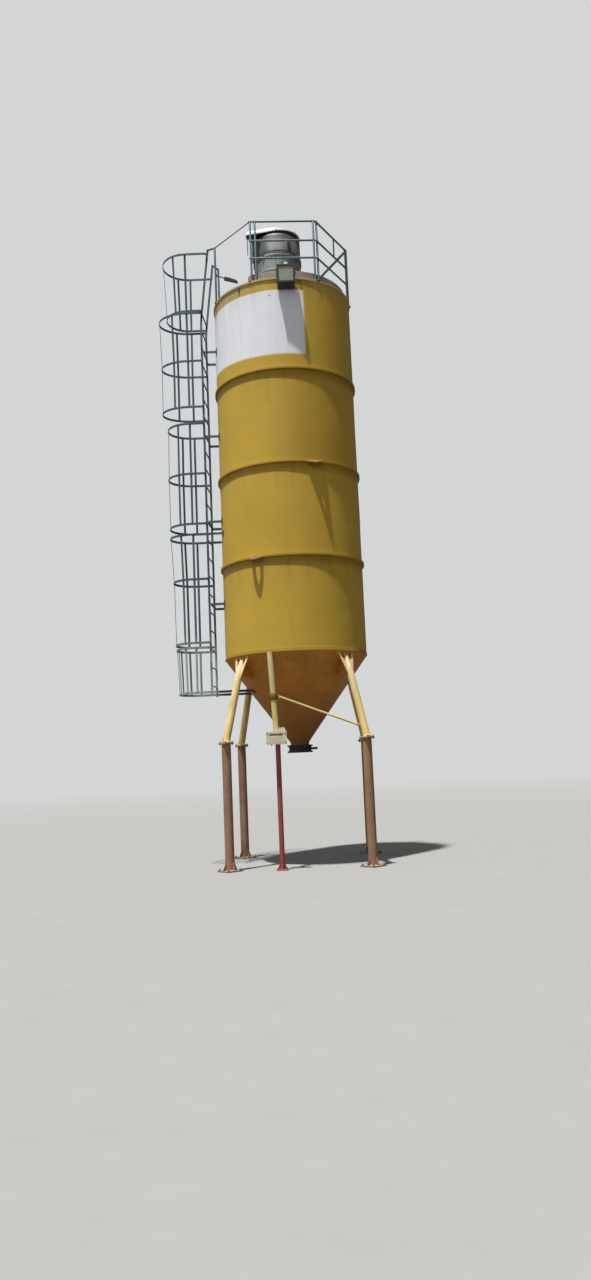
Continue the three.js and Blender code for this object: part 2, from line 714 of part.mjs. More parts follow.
// Crown plate with three points, across the leg's head
function crown(angle) {
  const { top, foot } = legAxis(angle);
  const upright = top.clone().sub(foot).normalize();
  const across = around(angle + 90, 1, 0);
  const outward = new THREE.Vector3().crossVectors(across, upright).normalize();
  const w = CROWN_HALF_WIDTH;
  const shape = new THREE.Shape([
    [-w * 0.38, -CROWN_HEIGHT], [w * 0.38, -CROWN_HEIGHT], [w, 60], [w * 0.74, 60],
    [w * 0.43, -110], [w * 0.25, 60], [-w * 0.25, 60], [-w * 0.43, -110], [-w * 0.74, 60], [-w, 60],
  ].map(([x, y]) => new THREE.Vector2(x, y)));
  const geometry = new THREE.ExtrudeGeometry(shape, { depth: CROWN_THICKNESS, bevelEnabled: false });
  geometry.translate(0, 0, -CROWN_THICKNESS / 2);
  geometry.applyMatrix4(new THREE.Matrix4().makeBasis(across, upright, outward));
  geometry.translate(top.x, top.y, top.z);
  return solid(geometry);
}

// Gusset from the leg's head back to the cone
function gusset(angle) {
  const reach = LEG_TOP_REACH;
  const shape = new THREE.Shape([
    [reach - 330, SHELL_BASE_Z - 2], [reach + 10, SHELL_BASE_Z - 2],
    [reach + 60, SHELL_BASE_Z - 330], [reach - 400, SHELL_BASE_Z - 330],
  ].map(([x, y]) => new THREE.Vector2(x, y)));
  const geometry = new THREE.ExtrudeGeometry(shape, { depth: CROWN_THICKNESS, bevelEnabled: false });
  geometry.rotateX(Math.PI / 2);
  geometry.translate(0, CROWN_THICKNESS / 2, 0);
  geometry.rotateZ(radians(angle - 90));
  return solid(geometry);
}

function addLegs() {
  const outside = discBody(SHELL_RADIUS * 2, SHELL_BASE_Z - GAP, SHELL_BASE_Z + 200, 12)
    .add(discBody(SHELL_RADIUS * 2, JOINT_Z - 200, JOINT_Z, 12));
  LEG_NAMES.forEach((name, i) => {
    const angle = legAngle(i);
    const { top, foot } = legAxis(angle);
    const flange = boxBody(FLANGE_SIZE, FLANGE_SIZE, FLANGE_THICKNESS, 0, 0, JOINT_Z + FLANGE_THICKNESS / 2)
      .rotate([0, 0, angle])
      .translate([foot.x, foot.y, 0]);
    const parts = [rod(foot, top, LEG_RADIUS, LEG_SIDES), crown(angle), gusset(angle), flange];
    addPiece(`leg_${name}`, join(parts).subtract(coneSpace).subtract(outside), YELLOW);
  });
}

function addPosts() {
  LEG_NAMES.forEach((name, i) => {
    const angle = legAngle(i);
    const place = around(angle, LEG_FOOT_REACH, 0);
    const topZ = JOINT_Z - GAP;
    const pipe = discBody(POST_RADIUS, 1, topZ - 1, LEG_SIDES);
    const plate = boxBody(FLANGE_SIZE, FLANGE_SIZE, FLANGE_THICKNESS, 0, 0, topZ - FLANGE_THICKNESS / 2);
    const base = boxBody(
      BASE_PLATE_SIZE, BASE_PLATE_SIZE, BASE_PLATE_THICKNESS,
      0, 0, BASE_PLATE_THICKNESS / 2,
    );
    const post = join([pipe, plate, base]).rotate([0, 0, angle]).translate([place.x, place.y, 0]);
    addPiece(`post_${name}`, post, PRIMER_BROWN);
  });
}

// The slim pole leans a little: its place at a given height
function poleAt(z) {
  return new THREE.Vector3(POLE_TOP_X + POLE_LEAN * (SHELL_BASE_Z - z), POLE_Y, z);
}

function addPole() {
  const low = poleAt(STAND_TOP_Z - 20);
  const high = poleAt(SHELL_BASE_Z + 20);
  const clampLow = poleAt(CLAMP_Z - CLAMP_HEIGHT / 2);
  const clampHigh = poleAt(CLAMP_Z + CLAMP_HEIGHT / 2);
  const underShell = boxBody(400, 400, 100, POLE_TOP_X, POLE_Y, SHELL_BASE_Z - GAP + 50);
  const belowPole = boxBody(400, 400, 100, STAND_X, POLE_Y, STAND_TOP_Z + GAP - 50);
  const pole = join([
    rod(low, high, POLE_RADIUS, POLE_SIDES),
    rod(clampLow, clampHigh, CLAMP_RADIUS, POLE_SIDES),
  ]).subtract(underShell).subtract(belowPole).subtract(coneSpace);
  addPiece('slim_pole', pole, YELLOW);

  const standPlate = boxBody(
    STAND_PLATE_SIZE, STAND_PLATE_SIZE, STAND_PLATE_THICKNESS,
    0, 0, STAND_PLATE_THICKNESS / 2,
  );
  const stand = discBody(STAND_RADIUS, 1, STAND_TOP_Z, POLE_SIDES);
  addPiece('pole_stand', join([stand, standPlate]).translate([STAND_X, POLE_Y, 0]), RED);
}

function addControlBox() {
  const centre = poleAt(BOX_Z);
  const backY = POLE_Y - POLE_RADIUS - GAP;
  const y = backY - BOX_DEPTH / 2;
  const bodyBox = boxBody(BOX_WIDTH - 2 * BOX_LID, BOX_DEPTH, BOX_HEIGHT - 2 * BOX_LID, centre.x, y, BOX_Z);
  const lid = boxBody(BOX_WIDTH, 24, BOX_HEIGHT, centre.x, backY - BOX_DEPTH, BOX_Z);
  const hood = boxBody(125, BOX_DEPTH - 20, 66, centre.x + 70, y, BOX_Z + BOX_HEIGHT / 2 + 20);
  addPiece('control_box', join([bodyBox, lid, hood]), CREAM);
}

// Brace from the pole's clamp to the front right leg
function addBrace() {
  const { top, foot } = legAxis(legAngle(1));
  const t = (BRACE_FOOT_Z - foot.z) / (top.z - foot.z);
  const legPoint = foot.clone().lerp(top, t);
  const start = poleAt(CLAMP_Z + BRACE_RISE);
  const along = legPoint.clone().sub(start).normalize();
  const from = start.addScaledVector(along, 2);
  const to = legPoint.addScaledVector(along, -2);
  const brace = rod(from, to, BRACE_RADIUS, RAIL_TUBE_SIDES)
    .subtract(rod(poleAt(CLAMP_Z - 300), poleAt(CLAMP_Z + 300), CLAMP_RADIUS + GAP, POLE_SIDES))
    .subtract(rod(foot, top, LEG_RADIUS + GAP, LEG_SIDES));
  addPiece('pole_brace', brace, YELLOW);
}

function addLamps() {
  const shape = new THREE.Shape(LAMP_OUTLINE.map(([y, height]) => new THREE.Vector2(y, height)));
  const geometry = new THREE.ExtrudeGeometry(shape, { depth: LAMP_WIDTH, bevelEnabled: false });
  geometry.applyMatrix4(new THREE.Matrix4().makeBasis(
    new THREE.Vector3(0, 1, 0),
    new THREE.Vector3(0, 0, 1),
    new THREE.Vector3(1, 0, 0),
  ));
  geometry.translate(LAMP_X - LAMP_WIDTH / 2, 0, SHELL_TOP_Z);
  const housing = solid(geometry);
  const armZ = SHELL_TOP_Z + LAMP_ARM_RISE;
  const toeFace = -(TOE_RADIUS + TOE_THICKNESS / 2 + GAP);
  const armFrom = new THREE.Vector3(LAMP_X, LAMP_ARM_Y, armZ);
  const armTo = new THREE.Vector3(LAMP_X, toeFace - 2, armZ);
  const arm = flatBar(armFrom, armTo, LAMP_ARM_WIDTH, LAMP_ARM_THICKNESS, new THREE.Vector3(1, 0, 0));
  const hookFoot = ROOF_TOP_Z + GAP;
  const hookTop = armZ + LAMP_ARM_THICKNESS / 2;
  const hook = boxBody(
    LAMP_ARM_WIDTH, LAMP_HOOK, hookTop - hookFoot,
    LAMP_X, toeFace - LAMP_HOOK / 2, (hookTop + hookFoot) / 2,
  );
  addPiece('floodlight_front', join([housing, arm, hook]), DARK);

  const post = new THREE.Vector3(GATE_POST_X, -GATE_POST_Y, SIDE_LAMP_Z + SIDE_LAMP_ARM_RISE);
  const armEnd = new THREE.Vector3(SIDE_LAMP_X + 30, -GATE_POST_Y, SIDE_LAMP_Z - 8);
  const sideArm = rod(post, armEnd, SIDE_LAMP_ARM_RADIUS, RAIL_TUBE_SIDES);
  const sideHousing = boxBody(SIDE_LAMP_LENGTH, SIDE_LAMP_WIDTH, SIDE_LAMP_HEIGHT, SIDE_LAMP_LENGTH / 2, 0, 0)
    .rotate([0, SIDE_LAMP_TILT, 0])
    .translate([SIDE_LAMP_X, -GATE_POST_Y, SIDE_LAMP_Z]);
  addPiece('floodlight_side', sideArm.add(sideHousing).subtract(gatePostBody(-1, GAP)), DARK);
}

// Gate post beside the ladder, grown by a clearance where a neighbour is cut back from it
function gatePostBody(side, clearance) {
  const topZ = SHELL_TOP_Z + GATE_POST_RISE;
  return discBody(RAIL_TUBE_RADIUS + clearance, ROOF_TOP_Z + GAP, topZ, RAIL_TUBE_SIDES)
    .translate([GATE_POST_X, side * GATE_POST_Y, 0]);
}

// Where bars meet a gate post's top
function gateTop(side) {
  const z = SHELL_TOP_Z + GATE_POST_RISE - GATE_LINK_RADIUS;
  return new THREE.Vector3(GATE_POST_X, side * GATE_POST_Y, z);
}

// A gate post, the stile's upper stretch and the link between their tops
function gateBody(side) {
  const stileZ = HAND_TOP_Z - GATE_LINK_RADIUS;
  const stile = new THREE.Vector3(stileX(side, stileZ), side * LADDER_HALF_WIDTH, stileZ);
  return join([
    gatePostBody(side, 0),
    stileBody(side, LADDER_TOP_Z + GAP, HAND_TOP_Z),
    rod(gateTop(side), stile, GATE_LINK_RADIUS, RAIL_TUBE_SIDES),
  ]);
}

// The gate on the near side has a bar to the front rail's end
function addGuardBars() {
  const railPost = railPanel(0).start;
  const z = SHELL_TOP_Z + RAIL_HEIGHTS[0] - RAIL_TUBE_RADIUS;
  const railSpace = rod(
    railPost.clone().setZ(z - 100),
    railPost.clone().setZ(z + 100),
    RAIL_TUBE_RADIUS + GAP,
    RAIL_TUBE_SIDES,
  );
  const bar = rod(gateTop(-1), railPost.clone().setZ(z), GUARD_BAR_RADIUS, RAIL_TUBE_SIDES);
  addPiece('guard_bar_front', gateBody(-1).add(bar).subtract(railSpace), STEEL);
  addPiece('guard_bar_back', gateBody(1), STEEL);
}

addShell();
addRings();
addRoof();
addFilter();
addRails();
addToeBoard();
addLadder();
addBrackets();
addCage();
addCone();
addValve();
addLegs();
addPosts();
addPole();
addControlBox();
addBrace();
addLamps();
addGuardBars();

export default silo;
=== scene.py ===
from math import acos, asin, atan2, cos, degrees, floor, hypot, pi, radians, sin, sqrt, tau

import bmesh
import bpy
from mathutils import Matrix, Vector, noise


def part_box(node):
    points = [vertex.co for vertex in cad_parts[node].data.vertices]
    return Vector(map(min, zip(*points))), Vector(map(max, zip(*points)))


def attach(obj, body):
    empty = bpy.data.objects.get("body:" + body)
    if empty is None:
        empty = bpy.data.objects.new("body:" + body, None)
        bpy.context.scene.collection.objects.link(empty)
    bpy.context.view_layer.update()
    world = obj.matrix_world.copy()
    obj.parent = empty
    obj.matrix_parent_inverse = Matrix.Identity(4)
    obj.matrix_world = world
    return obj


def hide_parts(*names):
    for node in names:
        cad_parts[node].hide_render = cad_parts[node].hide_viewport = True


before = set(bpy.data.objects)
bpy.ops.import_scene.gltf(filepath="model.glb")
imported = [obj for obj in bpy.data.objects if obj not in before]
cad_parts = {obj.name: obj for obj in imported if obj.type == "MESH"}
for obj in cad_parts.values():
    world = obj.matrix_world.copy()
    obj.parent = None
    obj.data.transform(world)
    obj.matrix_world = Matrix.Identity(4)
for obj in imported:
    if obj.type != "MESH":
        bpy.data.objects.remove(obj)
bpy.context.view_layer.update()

# Metres, with +X to the right in the picture, +Y away from the camera and +Z up
RIGHT, BACK, UP = Vector((1, 0, 0)), Vector((0, 1, 0)), Vector((0, 0, 1))

# Every piece is made round the silo's axis and then moved to it
shell_low, shell_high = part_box("shell_course_1")
AXIS = Vector(((shell_low.x + shell_high.x) / 2, (shell_low.y + shell_high.y) / 2, 0))
BASE = shell_low.z
RADIUS = (shell_high.x - shell_low.x) / 2
COURSE = 1.5
TOP = BASE + 4 * COURSE
GAP = 0.0003
ROOF_RISE = GAP + 0.010
ROOF = TOP + ROOF_RISE
# Height above the shell's top of what stands on the roof
FOOT = ROOF_RISE + GAP

# Slots of a piece's materials
MAIN, METAL, EXTRA, SPARE = range(4)


# Geometry helpers


def around(angle, radius=1, z=0):
    """Point on a circle round the axis, at an angle from the front towards +X."""
    a = radians(angle)
    return Vector((radius * sin(a), -radius * cos(a), z))


def axes_at(angle):
    """Directions along a round wall, out of it and up."""
    return around(angle + 90), around(angle), UP


def turns(count, shift=0):
    """Even angles round a full circle, in radians."""
    return [tau * (i + shift) / count for i in range(count)]


def read(line, place):
    """Value at one place on a line of (place, value) pairs."""
    for (p0, v0), (p1, v1) in zip(line, line[1:]):
        if place <= p1:
            return v0 + (v1 - v0) * (place - p0) / (p1 - p0)
    return line[-1][1]


def fillet(points, radius, steps=4):
    """Points of a line with its corners rounded."""
    points = [Vector(p) for p in points]
    out = [points[0]]
    for before, corner, after in zip(points, points[1:], points[2:]):
        a, b = before - corner, after - corner
        reach = min(radius, a.length * 0.45, b.length * 0.45)
        p, q = corner + a.normalized() * reach, corner + b.normalized() * reach
        for t in [i / steps for i in range(steps + 1)]:
            out.append(p * (1 - t) ** 2 + corner * (2 * t * (1 - t)) + q * t * t)
    return out + [points[-1]]


def placed(name, data):
    """New object in the scene."""
    made = bpy.data.objects.new(name, data)
    bpy.context.scene.collection.objects.link(made)
    return made


class Shape:
    """Vertices and faces of one piece, with a material slot for each face."""

    def __init__(self, origin=(0, 0, 0)):
        self.origin = Vector(origin)
        self.verts, self.faces, self.slots, self.soft = [], [], [], []

    def loft(self, rings, slot=MAIN, soft=True, closed=False, capped=True):
        """Skin over rings of as many points each, from the last back to the first if closed."""
        n, count, first = len(rings[0]), len(rings), len(self.verts)
        faces = []
        for j in range(count if closed else count - 1):
            a, b = j * n, (j + 1) % count * n
            faces += [[a + i, a + (i + 1) % n, b + (i + 1) % n, b + i] for i in range(n)]
        if capped and not closed:
            faces += [list(range(n)), list(range((count - 1) * n, count * n))]
        self.verts += [self.origin + Vector(p) for ring in rings for p in ring]
        self.faces += [[first + i for i in face] for face in faces]
        self.slots += [slot] * len(faces)
        self.soft += [soft] * len(faces)

    def turned(self, profile, segments=144, middle=(0, 0), shift=None, slot=MAIN, soft=True):
        """Solid of revolution from (radius, z) points: closed, or from axis to axis."""
        rings = []
        for r, z in profile:
            ring = []
            for a in turns(segments):
                reach = r + (shift(a, r, z) if shift else 0)
                ring.append((middle[0] + reach * sin(a), middle[1] - reach * cos(a), z))
            rings.append(ring)
        self.loft(rings, slot, soft, closed=profile[0][0] > 0, capped=False)

    def hoop(self, radius, z, thick, segments=144):
        """Round bead laid level round the axis."""
        self.turned([(radius + thick * cos(t), z + thick * sin(t)) for t in turns(8)], segments, soft=False)

    def tube(self, points, radius, sides=16, slot=MAIN, soft=True):
        """Round bar along points; radius is a number or one for each point."""
        points = [Vector(p) for p in points]
        rings, normal = [], None
        for i, p in enumerate(points):
            along = (points[min(i + 1, len(points) - 1)] - points[max(i - 1, 0)]).normalized()
            normal = along.orthogonal() if normal is None else normal - along * normal.dot(along)
            normal = normal.normalized()
            side = along.cross(normal)
            r = radius[i] if isinstance(radius, list) else radius
            rings.append([p + (normal * cos(t) + side * sin(t)) * r for t in turns(sides, 0.5)])
        self.loft(rings, slot, soft)

    def weld(self, start, end, wide, narrow, sides=16):
        """Weld round the end of a bar."""
        self.tube([start, end], [wide, narrow], sides, soft=False)

    def rounded(self, foot, top, radius):
        """Bar with a slightly rounded closed top."""
        up = (top - foot).normalized() * radius
        self.tube([foot, top - up * 0.35, top - up * 0.1, top], [radius, radius, radius * 0.9, radius * 0.6],
                  soft=False)

    def plate(self, outline, origin, across, up, thickness, slot=MAIN):
        """Flat plate of an outline drawn along two directions, thick on both sides of it."""
        normal = across.cross(up).normalized() * thickness / 2
        flat = [Vector(origin) + across * u + up * v for u, v in outline]
        self.loft([[p - normal for p in flat], [p + normal for p in flat]], slot)

    def ribs(self, outline, origin, side, out, thickness):
        """Four upright plates of one outline, one along each direction."""
        for way in (side, -side, out, -out):
            self.plate(outline, origin, way, UP, thickness)

    def block(self, centre, size, axes=(RIGHT, BACK, UP), slot=MAIN):
        x, y, z = axes
        w, d, h = size[0] / 2, size[1] / 2, size[2]
        base = Vector(centre) - z * h / 2
        corners = [base + x * a + y * b for a, b in ((-w, -d), (w, -d), (w, d), (-w, d))]
        self.loft([corners, [c + z * h for c in corners]], slot)

    def strip(self, points, thickness, low, height, slot=MAIN):
        """Upright band that follows a line of plan points."""
        rings, high = [], low + height
        points = [Vector(p[:2]) for p in points]
        for i, p in enumerate(points):
            inward = (p - points[i - 1]).normalized() if i else None
            outward = (points[i + 1] - p).normalized() if i + 1 < len(points) else None
            along = ((inward or outward) + (outward or inward)).normalized()
            reach = thickness / 2 / max(along.dot(inward or outward), 0.3)
            n = Vector((-along.y, along.x)) * reach
            a, b = p + n, p - n
            rings.append([(*a, low), (*b, low), (*b, high), (*a, high)])
        self.loft(rings, slot)

    def bolt(self, at, axis, size):
        """Washer, six-sided nut and the end of its stud."""
        at, axis = Vector(at), axis.normalized()
        u = axis.orthogonal().normalized()
        v = axis.cross(u)

        def ring(radius, height, sides):
            return [at + (axis * height + (u * cos(t) + v * sin(t)) * radius) * size for t in turns(sides)]

        for rings in ([ring(1.2, -0.05, 12), ring(1.2, 0.15, 12)],
                      [ring(0.92, 0.1, 6), ring(0.92, 0.8, 6), ring(0.78, 0.92, 6)],
                      [ring(0.5, 0.8, 8), ring(0.5, 1.25, 8)]):
            self.loft(rings, METAL, soft=False)

    def corner_bolts(self, centre, side, out, reach, axis, size):
        """Bolt near each corner of a square plate."""
        for a in (-1, 1):
            for b in (-1, 1):
                self.bolt(centre + side * a * reach + out * b * reach, axis, size)

    def make(self, node, slot, *paints, bevel=0.0015):
        """Blender object that stands for one CAD node, with the bolts' look in its second slot."""
        mesh = bpy.data.meshes.new(node + "_detail")
        mesh.from_pydata(self.verts, [], self.faces)
        mesh.polygons.foreach_set("material_index", self.slots)
        bm = bmesh.new()
        bm.from_mesh(mesh)
        soft = bm.faces.layers.int.new("soft")
        for face, is_soft in zip(bm.faces, self.soft):
            face[soft] = int(is_soft)
        bmesh.ops.remove_doubles(bm, verts=bm.verts, dist=1e-5)
        bmesh.ops.dissolve_degenerate(bm, edges=bm.edges, dist=1e-6)
        bmesh.ops.recalc_face_normals(bm, faces=bm.faces)
        weight = bm.edges.layers.float.new("bevel_weight_edge")
        for edge in bm.edges:
            faces = edge.link_faces
            if len(faces) == 2 and all(f[soft] for f in faces) and edge.calc_face_angle(0) > radians(40):
                edge[weight] = 1
        bm.faces.layers.int.remove(soft)
        bm.to_mesh(mesh)
        bm.free()
        mesh.shade_smooth()
        mesh.set_sharp_from_angle(angle=radians(35))
        for material in (paints[0], BOLTS, *paints[1:]):
            mesh.materials.append(material)
        piece = placed(node + "_detail", mesh)
        piece.location = AXIS
        if bevel:
            mod = piece.modifiers.new("edges", "BEVEL")
            mod.limit_method, mod.width, mod.segments, mod.harden_normals = "WEIGHT", bevel, 1, True
        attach(piece, "root")
        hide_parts(node)


# Materials


def scaled(colour, k):
    return tuple(min(c * k, 1) for c in colour)


DUST = (0.42, 0.39, 0.34)
LYING_DUST = scaled(DUST, 0.6)
RUST = (0.16, 0.055, 0.02)
YELLOW = (0.575, 0.370, 0.044)


class Graph:
    """Nodes of a material or of the world."""

    def __init__(self, owner):
        owner.use_nodes = True
        self.owner, self.tree = owner, owner.node_tree
        self.tree.nodes.clear()
        self.places = self.node("TexCoord")

    def node(self, kind, inputs=None, **settings):
        """Outputs of a new shader node."""
        made = self.tree.nodes.new("ShaderNode" + kind)
        for key, value in settings.items():
            setattr(made, key, value)
        for key, value in (inputs or {}).items():
            socket = made.inputs[key]
            if isinstance(value, bpy.types.NodeSocket):
                self.tree.links.new(value, socket)
            else:
                socket.default_value = (*value, 1) if socket.type == "RGBA" else value
        return made.outputs

    def math(self, operation, *values):
        return self.node("Math", dict(enumerate(values)), operation=operation)[0]

    def spread(self, value, low, high, to_low=0.0, to_high=1.0):
        keys = {"Value": value, "From Min": low, "From Max": high, "To Min": to_low, "To Max": to_high}
        return self.node("MapRange", keys)[0]

    def mix(self, share, a, b):
        return self.node("Mix", {0: share, 6: a, 7: b}, data_type="RGBA")[2]


class Paint(Graph):
    """Nodes of one material, placed by the piece's own coordinates."""

    def __init__(self, name):
        super().__init__(bpy.data.materials.new(name))
        self.place = self.places["Object"]
        self.x, self.y, self.z = self.parts_of(self.place)
        self.up = self.parts_of(self.node("NewGeometry")["Normal"])[2]
        self.colour = None

    def parts_of(self, vector):
        return list(self.node("SeparateXYZ", {0: vector}))

    def tint(self, share, colour):
        self.colour = self.mix(share, self.colour, colour)

    def noise(self, scale, detail=3.0, stretch=(1, 1, 1), offset=(0, 0, 0)):
        keys = {"Vector": self.place, "Scale": stretch, "Location": offset}
        at = self.node("Mapping", keys)[0]
        keys = {"Vector": at, "Scale": scale, "Detail": detail, "Roughness": 0.55}
        return self.node("TexNoise", keys)["Fac"]

    def times(self, *values):
        out = values[0]
        for value in values[1:]:
            out = self.math("MULTIPLY", out, value)
        return out

    def distance(self, vector, other=(0, 0, 0)):
        keys = {0: vector, 1: other}
        return self.node("VectorMath", keys, operation="DISTANCE")["Value"]

    def finish(self, roughness, bump, bump_depth, metallic=0.0, coat=0.0, specular=0.5):
        keys = {"Height": bump, "Strength": 0.5, "Distance": bump_depth}
        normal = self.node("Bump", keys)[0]
        keys = {"Base Color": self.colour, "Roughness": roughness, "Normal": normal, "Metallic": metallic,
                "Coat Weight": coat, "Coat Roughness": 0.3, "Specular IOR Level": specular}
        shader = self.node("BsdfPrincipled", keys)[0]
        self.node("OutputMaterial", {"Surface": shader})
        return self.owner


def weathered(name, base, rough, dust, grime, rust, patch, metallic=0.0, grain=60.0, streak=1.0,
              recolour=None):
    """Paint or metal with patches, streaks that run down, dust on what faces up, and rust specks."""
    g = Paint(name)
    broad, fine = g.noise(patch, 4), g.noise(grain, 4, offset=(3, 1, 7))
    g.colour = g.mix(g.spread(broad, 0.35, 0.65), scaled(base, 0.84), scaled(base, 1.1))
    g.tint(g.spread(fine, 0.4, 0.7, 0, 0.25), scaled(base, 0.7))
    if recolour:
        recolour(g)
    runs = g.noise(9.0 * streak, 4, stretch=(1, 1, 0.07), offset=(5, 2, 0))
    g.tint(g.spread(runs, 0.52, 0.75, 0, grime), scaled(base, 0.42))
    pale = g.noise(7.0 * streak, 3, stretch=(1, 1, 0.1), offset=(1, 9, 4))
    g.tint(g.spread(pale, 0.55, 0.8, 0, grime * 0.6), g.mix(0.5, g.colour, DUST))
    g.tint(g.times(g.spread(g.noise(38.0, 5, offset=(8, 8, 1)), 0.66, 0.72), rust), RUST)
    lying = g.times(g.spread(g.up, 0.35, 0.95), g.spread(broad, 0.2, 0.6, 0.6, 1.0), dust)
    g.tint(lying, LYING_DUST)
    roughness = g.spread(g.math("ADD", fine, lying), 0.35, 1.3, rough[0], rough[1] + 0.15)
    height = g.math("ADD", g.times(fine, 0.5), g.noise(220.0, 2))
    return g.finish(roughness, height, 0.0015, metallic)


RINGS = [BASE + COURSE, BASE + 2 * COURSE - 0.020, BASE + 3 * COURSE]
RING_HALF = 0.022
# The white panel, from and to an angle and a height
PANEL_FROM, PANEL_TO = -118, 17.5
PANEL_LOW, PANEL_HIGH = BASE + 4.742, BASE + 5.80


def white_panel(g, turn, broad, thin):
    """Beige band under the roof, and the white panel with its pale edges and one dark spot."""
    wobble = g.spread(g.noise(2.2, 2, offset=(6, 0, 3)), 0.2, 0.8, -0.35, 0.35)
    side = g.math("ADD", turn, wobble)
    level = g.math("ADD", g.z, g.times(wobble, 0.012))
    lifted = g.math("SUBTRACT", level, g.spread(turn, -20, -85, 0, 0.045))

    def patch(widen, blur, below, above, soft):
        start, end = PANEL_FROM - widen, PANEL_TO + widen
        low, high = PANEL_LOW - below, PANEL_HIGH + above
        return g.times(g.spread(side, start - blur, start + blur), g.spread(side, end + blur, end - blur),
                       g.spread(lifted, low - soft, low + soft), g.spread(level, high + soft, high - soft))

    rim = g.times(g.spread(g.z, TOP - 0.22, TOP - 0.14), g.spread(turn, -8, -62, 0.1, 0.9),
                  g.spread(turn, -176, -125, 0.11, 1))
    g.tint(rim, (0.44, 0.38, 0.20))
    g.tint(patch(0.9, 0.12, 0.020, 0.012, 0.003), (0.72, 0.62, 0.34))
    white = g.mix(g.spread(broad, 0.3, 0.7), (0.79, 0.80, 0.84), (0.86, 0.87, 0.91))
    white = g.mix(g.spread(thin, 0.5, 0.8, 0, 0.22), white, (0.62, 0.60, 0.56))
    spot = g.distance(g.place, around(-9.5, RADIUS, BASE + 5.72))
    white = g.mix(g.spread(spot, 0.012, 0.022, 0.7, 0), white, (0.2, 0.17, 0.14))
    g.tint(patch(0, 0.1, 0, 0, 0.002), white)


def shell_material(name, panel=False):
    """Semi-gloss paint of the shell, with dirt that runs down from the rings, and painted shade under the
    rings and at the right front.
    """
    g = Paint(name)
    broad = g.noise(0.55, 4)
    mid = g.noise(3.2, 4, offset=(4, 4, 4))
    fine = g.noise(70.0, 4, offset=(2, 5, 1))
    runs = g.noise(11.0, 5, stretch=(1, 1, 0.045), offset=(5, 2, 0))
    thin = g.noise(38.0, 3, stretch=(1, 1, 0.02), offset=(7, 3, 2))
    g.colour = g.mix(g.spread(broad, 0.3, 0.7), scaled(YELLOW, 0.9), scaled(YELLOW, 1.07))
    g.tint(g.spread(mid, 0.35, 0.75, 0, 0.3), (0.50, 0.375, 0.072))

    # Painted shade: brown darkening at the right front from the third course up, fading upwards; and a darker
    # brown foot of the first course
    turn = g.math("DEGREES", g.math("ARCTAN2", g.x, g.times(g.y, -1.0)))
    painted_shade_right_front = g.times(g.spread(turn, -18, 14), g.spread(turn, 66, 40), g.spread(g.z, BASE + 2.96, BASE + 3.02),
                   g.spread(g.z, BASE + 3.15, BASE + 4.5, 1, 0.2))
    foot = g.spread(g.z, BASE + 0.060, BASE + 0.045)
    g.tint(g.math("MAXIMUM", g.times(painted_shade_right_front, 0.5), g.times(foot, 0.75)), (0.30, 0.165, 0.018))
    if panel:
        white_panel(g, turn, broad, thin)

    # Runs of dirt below each ring and the roof, and a brown band of painted shade close under the rings
    dirt, painted_shade_under_rings = 0.0, 0.0
    for low in RINGS + [TOP]:
        drop = g.math("SUBTRACT", low - RING_HALF, g.z)
        below = g.spread(g.z, low - 0.001, low, 1, 0)
        dirt = g.math("MAXIMUM", dirt, g.times(g.spread(drop, 0.0, 0.55, 1, 0), below))
        if low < TOP:
            painted_shade_under_rings = g.math("MAXIMUM", painted_shade_under_rings, g.times(g.spread(drop, 0.07, 0.16, 1, 0), below))
    g.tint(g.times(g.spread(runs, 0.42, 0.72), dirt, 0.42), (0.24, 0.15, 0.035))
    g.tint(g.times(painted_shade_under_rings, g.spread(mid, 0.3, 0.7, 0.5, 0.75)), (0.33, 0.155, 0.010))
    g.tint(g.spread(thin, 0.58, 0.8, 0, 0.2), g.mix(0.45, g.colour, DUST))
    g.tint(g.spread(runs, 0.62, 0.8, 0, 0.22), (0.30, 0.20, 0.04))
    g.tint(g.times(g.spread(g.noise(30.0, 5, offset=(8, 8, 1)), 0.68, 0.73), 0.55), (0.22, 0.10, 0.03))
    g.tint(g.times(g.spread(g.up, 0.4, 0.95), 0.6), LYING_DUST)
    roughness = g.spread(g.math("ADD", g.times(mid, 0.6), g.times(fine, 0.4)), 0.3, 0.7, 0.36, 0.54)
    height = g.math("ADD", g.times(fine, 0.5), g.times(g.noise(260.0, 2), 0.4))
    return g.finish(roughness, height, 0.0012, specular=0.25)


def leg_painted_highlight(g):
    """Painted sunlight: lighter and pinker towards the crown."""
    g.tint(g.times(g.spread(g.z, BASE - 0.75, BASE - 0.15), 0.75), (0.80, 0.60, 0.36))


def cone_painted_shade(g):
    """Painted shade, darker towards the outlet."""
    g.tint(g.spread(g.z, BASE - 0.5, BASE - 1.25, 0, 0.7), (0.15, 0.065, 0.012))


def cage_tone_and_painted_shade(g):
    """Lighter zinc on the lowest cage section, painted shade where it reaches the cone, weathered above."""
    g.tint(g.spread(g.z, BASE + 0.45, BASE + 0.1), (0.36, 0.43, 0.40))
    g.tint(g.times(g.spread(g.z, BASE - 0.4, BASE - 0.45), g.spread(g.x, -1.32, -1.22)), (0.06, 0.04, 0.02))


def wavy_sides(g, scale, offset, wave, left, right):
    """Shares that grow to the left and to the right front of the filter, and their wavy edge."""
    edge = g.spread(g.noise(scale, 3, offset=offset), 0.2, 0.8, -wave, wave)
    x = g.math("ADD", g.x, edge)
    return edge, g.spread(x, *left), g.times(g.spread(x, *right), g.spread(g.y, 0.05, -0.05))


